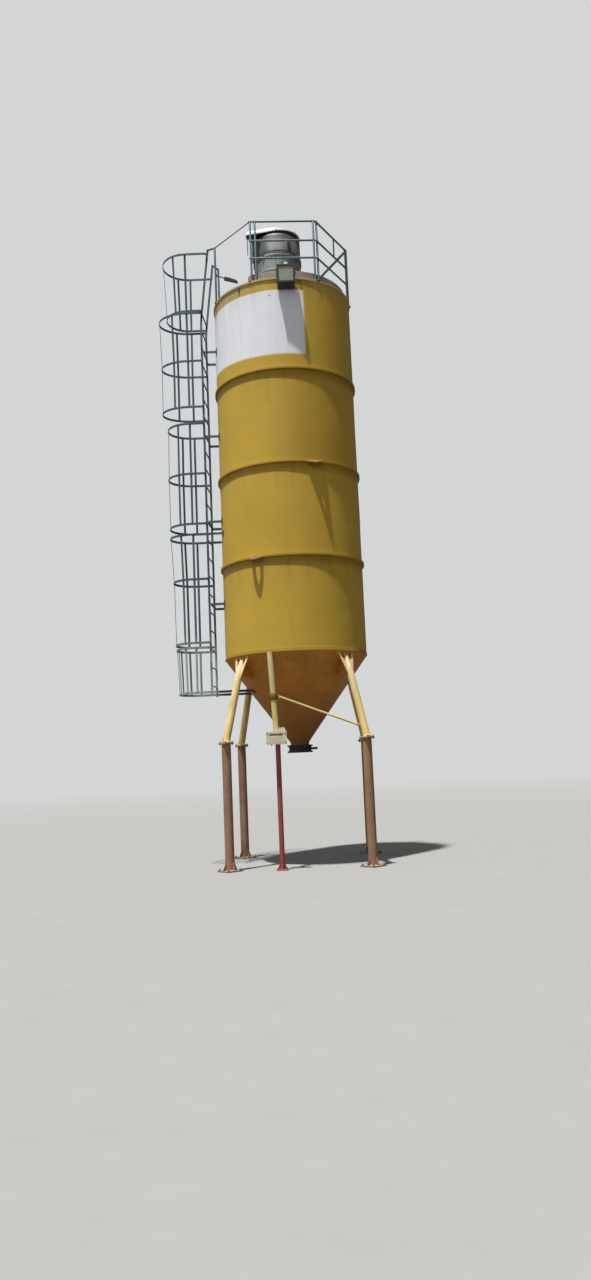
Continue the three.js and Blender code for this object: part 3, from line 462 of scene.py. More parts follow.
def head_painted_shade(g):
    """Painted shade under the hood, round the ladder's side and at the right front of the filter's head."""
    edge, left, right = wavy_sides(g, 6.0, (1, 4, 2), 0.03, (-0.15, -0.23), (0.02, 0.10))
    high = g.spread(g.math("ADD", g.z, edge), TOP + 1.08, TOP + 1.15)
    g.tint(g.times(right, 0.55), (0.17, 0.155, 0.185))
    g.tint(g.math("MAXIMUM", g.times(high, 0.85), g.times(left, 0.72)), (0.055, 0.068, 0.052))


def drum_painted_shade(g):
    """Painted shade: darker on the ladder's side and at the right front."""
    _, left, right = wavy_sides(g, 5.0, (3, 1, 6), 0.04, (-0.24, -0.34), (0.10, 0.20))
    g.tint(g.times(g.math("MAXIMUM", left, right), 0.6), (0.13, 0.14, 0.14))


PAINT = shell_material("shell_paint")
PANEL_PAINT = shell_material("shell_paint_with_panel", panel=True)

# Each look has its colour and roughness, then its shares of dust, grime and rust, and its patches' scale
# The cone's orange-brown paint is partly dirt and rust and partly painted shade; it darkens towards the
# outlet as painted shade too
CONE_PAINT_AND_SHADE = weathered("cone_paint_and_shade", (0.58, 0.225, 0.016), (0.5, 0.7), 0.3, 0.35, 0.5, 2, streak=1.6,
                       recolour=cone_painted_shade)
ROOF_PAINT = weathered("roof_paint", YELLOW, (0.6, 0.8), 0.9, 0.4, 0.3, 2)
RIM_PAINT = weathered("rim_paint", (0.46, 0.37, 0.17), (0.6, 0.8), 0.6, 0.4, 0.3, 2)
LEG_PAINT = weathered("leg_paint", (0.72, 0.55, 0.20), (0.45, 0.65), 0.4, 0.45, 0.7, 4, recolour=leg_painted_highlight)
SHADE_BROWN = weathered("painted_shade_brown", (0.135, 0.062, 0.012), (0.6, 0.8), 0.05, 0.4, 1.0, 9)
BROWN = weathered("old_brown_paint", (0.23, 0.115, 0.018), (0.6, 0.8), 0.05, 0.4, 1.0, 9)
PRIMER = weathered("primer", (0.34, 0.19, 0.11), (0.65, 0.85), 0.6, 0.5, 0.9, 5)
RED = weathered("red_paint", (0.33, 0.075, 0.07), (0.5, 0.7), 0.5, 0.35, 0.4, 5)
ZINC = weathered("zinc", (0.15, 0.215, 0.25), (0.42, 0.6), 0.35, 0.4, 0.5, 6, metallic=0.35, grain=90)
CAGE_ZINC = weathered("cage_zinc", (0.085, 0.135, 0.17), (0.42, 0.6), 0.3, 0.4, 0.5, 6, metallic=0.35,
                      grain=90, recolour=cage_tone_and_painted_shade)
DUSTY = weathered("dusty_steel", (0.36, 0.29, 0.235), (0.7, 0.9), 0.8, 0.4, 0.8, 4)
FILTER = weathered("filter_grey", (0.31, 0.335, 0.32), (0.45, 0.65), 0.55, 0.55, 0.2, 4, metallic=0.15,
                   recolour=drum_painted_shade)
HEAD = weathered("filter_head_grey", (0.31, 0.325, 0.315), (0.45, 0.65), 0.1, 0.55, 0.2, 4, metallic=0.15,
                 recolour=head_painted_shade)
WHITE = weathered("white_paint", (0.80, 0.81, 0.84), (0.4, 0.55), 0.2, 0.3, 0.1, 3)
CREAM = weathered("cream_plastic", (0.74, 0.66, 0.48), (0.5, 0.65), 0.4, 0.4, 0.05, 8)
LAMP = weathered("lamp_grey", (0.050, 0.056, 0.060), (0.4, 0.55), 0.3, 0.2, 0.1, 9, metallic=0.3)
IRON = weathered("valve_iron", (0.045, 0.048, 0.052), (0.6, 0.8), 0.5, 0.3, 1.0, 9, metallic=0.6)
SHADE_BLACK = weathered("painted_shade_black", (0.012, 0.013, 0.015), (0.6, 0.75), 0.1, 0.3, 0.0, 9)
BOLTS = weathered("bolt_zinc", (0.20, 0.19, 0.17), (0.4, 0.6), 0.3, 0.3, 1.0, 30, metallic=0.7)


def lens_material():
    g = Paint("lamp_lens")
    facets = g.noise(45.0, 1)
    g.colour = g.mix(g.spread(facets, 0.4, 0.6), (0.27, 0.27, 0.19), (0.36, 0.36, 0.27))
    return g.finish(g.spread(facets, 0.3, 0.7, 0.12, 0.22), facets, 0.0008, coat=0.4)


LENS = lens_material()


# Shell, rings and roof


def dents(a, r, z):
    """Slight unevenness of the rolled plates, none at their edges."""
    if r < RADIUS - 0.001:
        return 0
    share = (z - BASE) / COURSE
    calm = sin(pi * (share - floor(share))) ** 0.7
    at = Vector((sin(a) * 2.1, -cos(a) * 2.1, z * 1.5))
    return calm * (0.0045 * noise.noise(at) + 0.0018 * noise.noise(at * 3.1 + RIGHT * 7))


SEAMS = [64, -152, 118, -95]
SEAM_STEPS = 30
SKIRT = 0.0255
# Tabs under the roof's skirt: angle, width and height
TABS = ((-36, 0.030, 0.075), (16, 0.025, 0.045), (128, 0.030, 0.075), (-150, 0.025, 0.045))


def shell():
    for i in range(4):
        low, high = BASE + COURSE * i, BASE + COURSE * (i + 1) - GAP
        rows = [(RADIUS, low + (high - low) * k / 20) for k in range(21)]
        if i == 0:
            rows[:1] = [(RADIUS + 0.008, low), (RADIUS + 0.008, low + 0.016), (RADIUS, low + 0.040)]
        s = Shape()
        s.turned(rows + [(RADIUS - 0.008, high), (RADIUS - 0.008, low)], shift=dents)
        seam, bead = [], []
        for k in range(SEAM_STEPS + 1):
            angle = SEAMS[i] + 0.06 * noise.noise(Vector((k * 0.9, i, 0)))
            seam.append(around(angle, RADIUS - 0.002, low + (high - low) * k / SEAM_STEPS))
            bead.append(0.0062 + 0.0012 * noise.noise(Vector((k * 1.7, i, 3))))
        s.tube(seam, bead, 8, soft=False)
        # The tabs' dark brown is painted shade
        for angle, width, height in TABS if i == 3 else ():
            middle = around(angle, RADIUS + 0.008, TOP - SKIRT - height / 2)
            s.block(middle, (width, 0.022, height), axes_at(angle), EXTRA)
        paint = PANEL_PAINT if i == 3 else PAINT
        s.make(f"shell_course_{i + 1}", "shell_paint", paint, SHADE_BROWN, bevel=0)


# Half outlines of the lugs, as places across and shares of their reach
ARCH = [(0.070, 0), (0.064, 0.42), (0.050, 0.66), (0.032, 0.82), (0.011, 0.95)]
TRIANGLE = [(0.105, 0), (0.010, 0.93)]
LUGS = [((-28, 152), 0.104, ARCH), ((21, -159), 0.108, TRIANGLE), ((), 0, [])]


def lug(s, angle, reach, plan, z):
    """Drooping bar bent out from a ring and back."""
    side, out, _ = axes_at(angle)
    root = around(angle, RADIUS + 0.020, z - 0.022)
    down = out * reach - UP * 0.045
    line = [root + side * u + down * v for u, v in plan + [(-u, v) for u, v in plan[::-1]]]
    s.tube(fillet(line, 0.020), 0.028, 12, EXTRA)
    if plan is TRIANGLE:
        s.plate([(-0.095, 0), (0.095, 0), (0.062, 0.050), (-0.062, 0.050)], root, side, out, 0.010, EXTRA)
    for u in (-1, 1):
        foot = root + side * u * plan[0][0]
        s.weld(foot + out * 0.006, foot + out * 0.022, 0.033, 0.028, 12)


def rings():
    inner, outer = RADIUS + GAP, RADIUS + 0.033
    for i, z in enumerate(RINGS):
        s = Shape()
        low, high = z - RING_HALF, z + RING_HALF
        s.turned([(inner, low), (outer, low), (outer, high), (inner, high)])
        for edge in (low, high):
            s.hoop(RADIUS + 0.0035, edge, 0.0055)
        for angle in (75, 195, 315):
            turn = angle + i * 31
            s.tube([around(turn, outer, low), around(turn, outer, high)], 0.004, 8, soft=False)
        angles, reach, plan = LUGS[i]
        for angle in angles:
            lug(s, angle, reach, plan, z)
        s.make(f"stiffener_ring_{i + 1}", "shell_paint", PAINT, BROWN, bevel=0.002)


def roof():
    s = Shape()
    low, rim, skirt, wall = TOP + GAP, RADIUS + 0.014, TOP - 0.025, RADIUS + GAP
    s.turned([(0, low), (RADIUS, low), (rim - 0.001, low), (rim - 0.001, ROOF - 0.001), (rim - 0.008, ROOF),
              (0.6, ROOF), (0, ROOF)])
    s.turned([(wall, skirt), (rim, skirt), (rim, ROOF - 0.004), (rim - 0.003, ROOF - 0.0005),
              (wall, ROOF - 0.0005)], slot=EXTRA)
    # Pale strip on the rim at the right: a painted highlight for a glint
    s.strip([around(a, rim + 0.002) for a in range(56, 83, 2)], 0.003, TOP - 0.006, 0.020, SPARE)
    for y, end in ((0.30, 1.12), (-0.42, 1.06)):
        s.tube([(-1.12, y, ROOF - 0.001), (end, y, ROOF - 0.001)], 0.005, 8, soft=False)
    s.make("roof_plate", "shell_paint", ROOF_PAINT, RIM_PAINT, CREAM, bevel=0.002)


def hatch():
    s = Shape((0.45, 0.62, ROOF + GAP))
    s.turned([(0.205, 0), (0.215, 0), (0.215, 0.092), (0.232, 0.092), (0.232, 0.106), (0.205, 0.106)], 64)
    s.turned([(0, 0.107), (0.240, 0.107), (0.240, 0.116), (0.232, 0.121), (0.10, 0.130), (0, 0.133)], 64)
    for angle in (30, 150, 270):
        s.block(around(angle, 0.222, 0.055), (0.05, 0.012, 0.06), axes_at(angle))
        s.block(around(angle, 0.248, 0.098), (0.04, 0.030, 0.05), axes_at(angle))
        s.bolt(around(angle, 0.244, 0.122), UP, 0.016)
    handle = [(-0.07, 0, 0.125), (-0.07, 0, 0.168), (0.07, 0, 0.168), (0.07, 0, 0.125)]
    s.tube(fillet(handle, 0.02), 0.007, 12)
    s.make("roof_hatch", "dusty_steel", DUSTY)


# Dust filter, with heights above the shell's top

FILTER_X = -0.040
FILTER_SPLIT = 0.875
FILTER_TOP = 1.235
LATCHES = (-35, 55, 145, 235)


def filter_drum():
    s = Shape((FILTER_X, 0, TOP))
    low, high = FILTER_SPLIT - 0.055, FILTER_SPLIT
    profile = [(0, FOOT), (0.450, FOOT), (0.450, FOOT + 0.014), (0.400, FOOT + 0.014)]
    for z in (FOOT + 0.30, FOOT + 0.56):
        profile += [(0.400, z - 0.012), (0.406, z - 0.006), (0.406, z + 0.006), (0.400, z + 0.012)]
    profile += [(0.400, low), (0.414, low), (0.414, low + 0.006), (0.409, low + 0.012), (0.409, high - 0.010),
                (0.414, high - 0.004), (0.414, high), (0, high)]
    s.turned(profile, 96)
    for k in range(16):
        s.bolt(around(k * 22.5 + 8, 0.426, FOOT + 0.014), UP, 0.012)
    s.tube([around(70, 0.400, FOOT + 0.014), around(70, 0.400, low)], 0.004, 8, soft=False)
    for angle in LATCHES:
        axes, out, at = axes_at(angle), around(angle), around(angle, 0.412, high - 0.030)
        s.block(at + out * 0.006, (0.036, 0.012, 0.075), axes, METAL)
        loop = [at + out * 0.014 - UP * 0.02, at + out * 0.026 + UP * 0.004, at + out * 0.012 + UP * 0.035]
        s.tube(fillet(loop, 0.01), 0.0045, 8, METAL, soft=False)
        s.block(at + out * 0.017 - UP * 0.035, (0.022, 0.010, 0.034), axes, METAL)
    for k in range(40):
        out = around(k * 9 + 4)
        s.bolt(out * 0.400 + UP * (high - 0.078), out, 0.012)
    s.make("filter_drum", "filter_grey", FILTER)


def filter_head():
    s = Shape((FILTER_X, 0, TOP))
    foot = FILTER_SPLIT + GAP
    s.turned([(0, foot), (0.400, foot), (0.400, 1.185), (0.392, 1.210), (0.360, FILTER_TOP),
              (0, FILTER_TOP)], 96)
    # The dark band round the head's foot is painted shade at the joint
    low, high = foot + 0.004, foot + 0.034
    s.turned([(0.396, low), (0.403, low), (0.403, high), (0.396, high)], 96, slot=EXTRA)
    for angle in LATCHES:
        s.block(around(angle, 0.402, foot + 0.030), (0.03, 0.012, 0.04), axes_at(angle), METAL)
    # The latch at 31 degrees is black partly as its own colour and partly as painted shade
    angle, middle, rise = 31, 0.998, UP * 0.055
    s.block(around(angle, 0.406, middle), (0.056, 0.012, 0.150), axes_at(angle), EXTRA)
    near, far = around(angle, 0.410, middle), around(angle, 0.434, middle)
    s.tube(fillet([near - rise, far - rise, far + rise, near + rise], 0.012), 0.008, 12, EXTRA)
    s.make("filter_head", "filter_grey", HEAD, LAMP)


def hood():
    """Sheet hood with a nose, on a short neck. A flap and a dark bar hang from the nose; both are black as
    painted shade.
    """
    middle, radius, nose = -0.030, 0.396, -0.559
    near_y, far_y, end_x, pull_x = -0.280, -0.230, middle + radius, -0.12
    low_edge = [(nose, 1.257), (-0.100, 1.257), (end_x, 1.285)]
    band_edge = [(nose, 1.290), (-0.100, 1.292), (end_x, 1.290)]
    high_edge = [(nose, 1.345), (-0.375, 1.364), (0.170, 1.312), (end_x, 1.298)]
    crown = [(nose, 1.378), (0.4, 1.35)]

    def tangent(y, side):
        """Turn round the circle's middle at which a line from the nose's corner touches it."""
        return atan2(y, nose - middle) + side * acos(radius / hypot(nose - middle, y))

    start, end = tangent(near_y, 1), tangent(far_y, -1) + tau
    sweep = [start + (end - start) * k / 60 for k in range(61)]
    arc = [Vector((middle + radius * cos(t), radius * sin(t), 0)) for t in sweep]
    tip = (nose, (near_y + far_y) / 2, 0)
    plan = (fillet([tip, (nose, near_y, 0), arc[0]], 0.012)[1:-1] + arc
            + fillet([arc[-1], (nose, far_y, 0), tip], 0.012)[1:-1])

    def ring(share, edge, shift=0.0):
        return [Vector((pull_x + (p.x - pull_x) * share, p.y * share, read(edge, p.x) + shift)) for p in plan]

    neck_at = RIGHT * FILTER_X
    spokes = [(p - neck_at).normalized() * 0.330 + neck_at for p in plan]
    s = Shape((0, 0, TOP))
    s.loft([[q + UP * (FILTER_TOP + GAP) for q in spokes],
            [q + UP * (read(low_edge, p.x) + 0.011) for p, q in zip(plan, spokes)],
            ring(0.965, low_edge, 0.011), ring(0.965, low_edge), ring(0.995, low_edge),
            ring(1.0, low_edge, 0.002), ring(1.0, band_edge, -0.002), ring(0.997, band_edge, 0.001),
            ring(0.90, high_edge), ring(0.60, high_edge, 0.012), ring(0.05, crown)], soft=False)
    # The underside is painted black as shade near the nose, and grey elsewhere
    s.slots[:3 * len(plan)] = [EXTRA if p.x < -0.30 else SPARE for p in plan] * 3
    lip = [p + UP * 0.006 for p in ring(1.0, low_edge)]
    s.tube(lip + lip[:1], 0.0035, 8, soft=False)
    # Flap, a block under the nose and a bar, all black as painted shade
    for centre, size in (((-0.536, -0.240, 1.110), (0.011, 0.060, 0.360)),
                         ((-0.528, -0.255, 1.236), (0.050, 0.044, 0.054)),
                         ((-0.436, -0.255, 1.020), (0.046, 0.050, 0.506))):
        s.block(centre, size, slot=EXTRA)
    for level in (0.790, 0.960, 1.150):
        s.bolt((-0.436, -0.280, level), -BACK, 0.009)
    for p in ring(1.0, low_edge)[8:66:12]:
        s.bolt(p + UP * 0.020, Vector((p.x - middle, p.y, 0)), 0.008)
    s.make("filter_cap", "white_paint", WHITE, SHADE_BLACK, HEAD)


# Guard rail, toe board and gate posts

CORNERS = [around(angle, 1.150) for angle in (-25.4, 31.6, 89, 143, 197)]
TUBE = 0.017
RAIL_HEIGHTS = [1.062, 0.730, 0.430]
POST_INSET = 0.036


def foot_plate(s, at, along):
    """Base plate of a rail post with two bolts."""
    s.block(at + UP * 0.004, (0.10, 0.055, 0.008), (along, UP.cross(along), UP))
    for side in (-1, 1):
        s.bolt(at + UP * 0.008 + along * side * POST_INSET, UP, 0.010)
    s.weld(at + UP * 0.006, at + UP * 0.016, 0.024, TUBE)


def rails():
    for i, name in enumerate(("rail_front", "rail_front_right", "rail_back_right", "rail_back")):
        s = Shape((0, 0, TOP))
        along = (CORNERS[i + 1] - CORNERS[i]).normalized()
        lone = i == 2
        start, end = CORNERS[i] + along * (0.004 if lone else POST_INSET), CORNERS[i + 1] - along * POST_INSET
        posts = [start, end] + ([start + along * 0.076] if i == 0 else [])
        for post in posts:
            s.rounded(post + UP * FOOT, post + UP * RAIL_HEIGHTS[0], TUBE)
        for post in (start, end):
            foot_plate(s, post + UP * FOOT, along)
        thick = 0.022 if lone else TUBE * 0.94
        a, b = start - along * (0.004 if lone else 0.030), end + along * 0.030
        for height in RAIL_HEIGHTS[:1] if lone else RAIL_HEIGHTS:
            rise = UP * (height - TUBE)
            s.rounded(start + rise, b + rise, thick * 1.01)
            s.rounded(end + rise, a + rise, thick * 0.99)
            for post in [] if lone else posts:
                for way in (-along, along):
                    p = post + rise + way * TUBE * 0.9
                    s.weld(p, p + way * 0.008, TUBE * 1.25, TUBE * 0.9)
        if i == 1:
            strut = start.lerp(end, 0.58)
            s.tube([strut + UP * (height - TUBE) for height in RAIL_HEIGHTS[1::-1]], TUBE * 0.7)
        s.make(name, "galvanised_steel", ZINC)


TOE_FROM, TOE_TO, TOE_HEIGHT, TOE_ROUND = -29.0, 200.0, 0.148, 0.060
TOE_INNER, TOE_OUTER = 1.0805, 1.0855
# Share of the toe board's height that is missing beside the front lamp
DIP = [(-9.5, 0), (-0.5, 1), (9.0, 1), (9.8, 0)]


def toe_board():
    """Thin band round the guarded part, rounded off at both ends and cut down by the lamp."""
    s = Shape((0, 0, ROOF + GAP))
    reach = degrees(TOE_ROUND / 1.083)
    ends = [reach * k / 6 for k in range(6)]
    angles = [TOE_FROM + a for a in ends]
    angles += [TOE_FROM + reach + (TOE_TO - TOE_FROM - 2 * reach) * k / 72 for k in range(73)]
    angles += [TOE_TO - a for a in ends[::-1]]
    sections = []
    for angle in angles:
        lack = max(0.0, 1 - min(angle - TOE_FROM, TOE_TO - angle) / reach)
        top = TOE_HEIGHT - TOE_ROUND * (1 - sqrt(max(0.0, 1 - lack * lack)))
        top -= (TOE_HEIGHT - 0.012) * (read(DIP, angle) if angle > DIP[0][0] else 0)
        sections.append([around(angle, TOE_INNER), around(angle, TOE_OUTER), around(angle, TOE_OUTER, top),
                         around(angle, TOE_INNER, top)])
    s.loft(sections)
    for angle in range(-20, 200, 24):
        s.plate([(0, 0), (0.05, 0), (0, 0.11)], around(angle, 1.0800), -around(angle), UP, 0.006)
        s.bolt(around(angle + 3, TOE_OUTER, 0.10), around(angle), 0.009)
    s.make("toe_board", "dusty_steel", DUSTY, bevel=0.001)


# A stile's middle line, as heights and places in X, and how much further out the near stile stands
STILE_LINE = [(BASE - 0.550, -1.350), (BASE + 5.750, -1.350), (BASE + 6.440, -1.271), (BASE + 7.045, -1.198)]
STILE_SKEW = 0.018
HALF_DEPTH = 0.018
HALF_LADDER = 0.250
LADDER_TOP = TOP + 0.030
HAND_TOP = STILE_LINE[-1][0]


def stile_x(side, z):
    """X of the near (side -1) or far (side 1) stile's middle."""
    return side * STILE_SKEW + read(STILE_LINE, z)


def stile(s, side, low, high):
    """Flat bar of one ladder side between two heights."""
    levels = [low] + [z for z, _ in STILE_LINE if low < z < high] + [high]
    line = fillet([(stile_x(side, z), side * HALF_LADDER, z) for z in levels], 0.12, 5)
    d, t = HALF_DEPTH, 0.005
    corners = [Vector((x, y, 0)) for x, y in ((-d, -t), (d, -t), (d, t), (-d, t))]
    s.loft([[p + corner for corner in corners] for p in line])


def gate_posts():
    """Posts beside the ladder, linked to its upper stiles. The near one has a bar to the rail."""
    for name, side in (("guard_bar_front", -1), ("guard_bar_back", 1)):
        s = Shape()
        post = Vector((-1.089, side * 0.354, 0))
        foot, gate = post + UP * (ROOF + GAP), post + UP * (TOP + 1.008)
        s.rounded(foot, post + UP * (TOP + 1.022), TUBE)
        foot_plate(s, foot, BACK)
        if side < 0:
            corner = CORNERS[0] + (CORNERS[1] - CORNERS[0]).normalized() * POST_INSET
            corner.z = TOP + RAIL_HEIGHTS[0] - TUBE
            along = (corner - gate).normalized()
            end = corner - along * (TUBE + GAP)
            s.tube([gate, end], 0.009, 12)
            s.weld(corner - along * 0.035, end, 0.009, 0.014, 12)
        hold_z = HAND_TOP - 0.016
        hold = Vector((stile_x(side, hold_z), side * (HALF_LADDER + 0.0055), hold_z))
        s.tube([gate, hold + (gate - hold).normalized() * 0.002], 0.015, 12)
        s.block(hold + BACK * side * 0.004, (0.034, 0.006, 0.036))
        s.bolt(hold + Vector((-0.008, side * 0.007, 0.004)), BACK * side, 0.009)
        stile(s, side, LADDER_TOP + GAP, HAND_TOP)
        s.make(name, "galvanised_steel", CAGE_ZINC)


# Ladder, brackets and cage


def ladder():
    s = Shape()
    for side in (-1, 1):
        y = side * HALF_LADDER
        stile(s, side, STILE_LINE[0][0], LADDER_TOP)
        for z in (BASE + 1.62, BASE + 4.46):
            x = stile_x(side, z)
            s.block((x, y - side * 0.0085, z), (0.030, 0.007, 0.26))
            for rise in (-0.095, -0.035, 0.035, 0.095):
                s.bolt((x, y + side * 0.005, z + rise), BACK * side, 0.010)
    z = BASE - 0.400
    while z < TOP:
        ends = [Vector((stile_x(side, z), side * HALF_LADDER, z)) for side in (-1, 1)]
        s.tube(ends, 0.011, 14, soft=False)
        for end, other in (ends, ends[::-1]):
            way = (other - end).normalized()
            s.weld(end + way * 0.0045, end + way * 0.0105, 0.0165, 0.0112, 14)
        z += 0.300
    s.make("ladder", "galvanised_steel", CAGE_ZINC, bevel=0.001)


def wall_pad(s, y, wall, z, width):
    """Square pad on a round wall of the ladder's side, where a bar at one y meets it."""
    angle = -90 - degrees(asin(y / wall))
    s.block(around(angle, wall + 0.004, z), (width, 0.006, width), axes_at(angle))


def brackets():
    behind = HALF_DEPTH + 3 * GAP + 0.005
    end = -sqrt((RADIUS + GAP) ** 2 - HALF_LADDER ** 2)
    for i, rise in enumerate((0.920, 2.290, 3.740, 5.210)):
        s = Shape()
        z, y = BASE + rise, HALF_LADDER
        near, far = stile_x(-1, z) + behind, stile_x(1, z) + behind
        plan = fillet([(end, -y, 0), (near, -y, 0), (far, y, 0), (end, y, 0)], 0.018)
        s.strip(plan, 0.010, z - 0.020, 0.040)
        for side, x in ((-1, near), (1, far)):
            wall_pad(s, side * y, RADIUS, z, 0.11)
            s.bolt((x + 0.005, side * (y - 0.028), z), RIGHT, 0.012)
        s.make(f"ladder_bracket_{i + 1}", "galvanised_steel", CAGE_ZINC, bevel=0.001)


FIVE, SEVEN = (0, 2, 6, 10, 12), (0, 2, 4, 6, 8, 10, 12)
# Sections from the top down: places of the straps, then each hoop's rise, half width and reach
CAGE = {
    "cage_section_5": (FIVE, [(6.875, 0.430, 2.018), (5.892, 0.375, 1.969)]),
    "cage_section_4": (FIVE, [(5.848, 0.388, 2.105), (5.030, 0.340, 2.079), (4.233, 0.340, 2.082)]),
    "cage_section_3": (FIVE, [(3.935, 0.365, 1.998), (3.085, 0.355, 2.009), (2.240, 0.365, 2.002)]),
    "cage_section_2": (FIVE, [(2.075, 0.315, 2.004), (1.330, 0.325, 1.966), (0.290, 0.325, 1.955)]),
    "cage_section_1": (SEVEN, [(0.210, 0.325, 1.945), (-0.510, 0.325, 1.920)]),
}
CAGE_X = -1.595
# Hoops that are fixed to the shell or the cone in place of the stiles
WALL_HOOPS = (2.075, -0.510)
CONE_HEIGHT, CONE_MOUTH = 1.350, 0.150


def cone_radius(z):
    return RADIUS - (RADIUS - CONE_MOUTH) * (BASE - z) / CONE_HEIGHT


def cage_hoop(s, rise, half, reach):
    """Flat hoop from wall to wall or from stile to stile. Gives its middle and the arc for the straps."""
    z = BASE + rise
    sweep = [pi * k / 36 for k in range(37)]
    arc = [Vector((CAGE_X - (reach + CAGE_X) * sin(t), -half * cos(t), 0)) for t in sweep]
    ends = []
    for side, tip in ((-1, arc[0]), (1, arc[-1])):
        if rise in WALL_HOOPS:
            wall = RADIUS if z > BASE else cone_radius(z - 0.019)
            ends.append([Vector((-sqrt((wall + 0.0006) ** 2 - half ** 2), side * half, 0))])
            wall_pad(s, side * half, wall, z, 0.09)
        else:
            x, y = stile_x(side, z), side * (HALF_LADDER + 0.0053)
            ends.append(fillet([(x, y, 0), (x, side * half, 0), tip], 0.035, 5)[:-1])
            s.block((x, y + side * 0.003, z), (0.036, 0.006, 0.038))
            s.bolt((x - 0.010, y + side * 0.006, z), BACK * side, 0.009)
    s.strip(ends[0] + arc + ends[1][::-1], 0.007, z - 0.019, 0.038)
    return z, arc[::3]


def cage_strap(s, index, high, high_arc, low, low_arc):
    """Upright flat bar inside two hoops, bolted to both."""
    tangent = (high_arc[min(index + 1, 12)] - high_arc[max(index - 1, 0)]).normalized()
    out = Vector((-tangent.y, tangent.x, 0))
    upper = high_arc[index] - out * 0.006 + UP * (high + 0.016)
    lower = low_arc[index] - out * 0.006 + UP * (low - 0.016)
    along = (upper - lower).normalized()
    across = (tangent - along * tangent.dot(along)).normalized()
    s.block((upper + lower) / 2, (0.036, 0.005, (upper - lower).length), (across, along.cross(across), along))
    for z, arc in ((high, high_arc), (low, low_arc)):
        s.bolt(arc[index] + UP * z + out * 0.0035, out, 0.009)


def cage():
    for name, (straps, hoops) in CAGE.items():
        s = Shape()
        made = [cage_hoop(s, *hoop) for hoop in hoops]
        for index in straps:
            for upper, lower in zip(made, made[1:]):
                cage_strap(s, index, *upper, *lower)
        s.make(name, "galvanised_steel", CAGE_ZINC, bevel=0.0008)


# Cone, valve and legs

CONE_FOOT = BASE - CONE_HEIGHT
SPOUT = 0.050
BORE = 0.140


def cone():
    def uneven(a, r, z):
        if z > BASE - 0.01 or z < CONE_FOOT + 0.01 or r < cone_radius(z) - 0.002:
            return 0
        return 0.004 * noise.noise(Vector((sin(a) * r * 2.4, cos(a) * r * 2.4, z * 2.4)))

    s = Shape()
    top, spout_end = BASE - GAP, CONE_FOOT - SPOUT
    levels = [CONE_FOOT + (top - CONE_FOOT) * k / 14 for k in range(15)]
    s.turned([(CONE_MOUTH, spout_end)] + [(cone_radius(z), z) for z in levels]
             + [(RADIUS - 0.010, top), (BORE, CONE_FOOT), (BORE, spout_end)], 120, shift=uneven)
    for angle in (8, 98, 188, 278):
        seam = []
        for k in range(25):
            z = CONE_FOOT + 1.34 * k / 24
            seam.append(around(angle + 0.1 * noise.noise(Vector((k, angle, 0))), cone_radius(z) - 0.002, z))
        s.tube(seam, 0.006, 8, soft=False)
    s.hoop(cone_radius(BASE - 0.62) - 0.002, BASE - 0.62, 0.006)
    s.hoop(CONE_MOUTH + 0.002, CONE_FOOT, 0.006, 64)
    s.make("cone", "shell_paint", CONE_PAINT_AND_SHADE)


def valve():
    s = Shape((0, 0, CONE_FOOT - SPOUT - GAP - 0.060))
    half = [(0, 0.006), (BORE, 0.006), (BORE, 0.060), (0.205, 0.060), (0.205, 0.040), (0.176, 0.040)]
    s.turned([(r, -z) for r, z in half] + half[::-1], 64)
    for angle in range(22, 360, 45):
        for side in (1, -1):
            s.bolt(around(angle, 0.190, side * 0.040), UP * -side, 0.014)
    s.tube([(BORE + 0.01, 0, 0), (0.265, 0, 0)], 0.018, 20)
    s.tube([(0.172, 0, 0), (0.182, 0, 0)], 0.038, 20)
    s.block((0.255, -0.090, 0), (0.014, 0.260, 0.034))
    s.tube([(0.255, -0.222, 0), (0.255, -0.120, 0)], 0.020)
    s.bolt((0.263, 0, 0), RIGHT, 0.018)
    s.make("outlet_valve", "valve_iron", IRON)


LEGS = {"front_left": -49, "front_right": 43, "back_right": 131, "back_left": 223}
POST_RING = 1.480
JOINT = BASE - 1.345
FLANGE = (0.165, 0.165, 0.016)
FLANGE_BOLTS = 0.066
LEG_RADIUS, POST_RADIUS = 0.057, 0.070


def leg_axis(angle):
    return around(angle, POST_RING, JOINT + 0.008), around(angle, 1.128, BASE - 0.060)


def pipe_to_vessel(s, foot, top, radius, sides):
    """Pipe whose upper end is cut to lie against the cone and the shell's foot."""
    axis = (top - foot).normalized()
    normal = axis.orthogonal().normalized()
    side = axis.cross(normal)
    low, high = [], []
    for t in turns(sides):
        start = foot + (normal * cos(t) + side * sin(t)) * radius
        a, b = 0.0, (top - foot).length + 0.2
        for _ in range(30):
            mid = (a + b) / 2
            p = start + axis * mid
            inside = p.z > BASE - GAP or hypot(p.x, p.y) < cone_radius(p.z) + 0.0005
            a, b = (a, mid) if inside else (mid, b)
        low.append(start)
        high.append(start + axis * a)
    s.loft([low, high], soft=False)


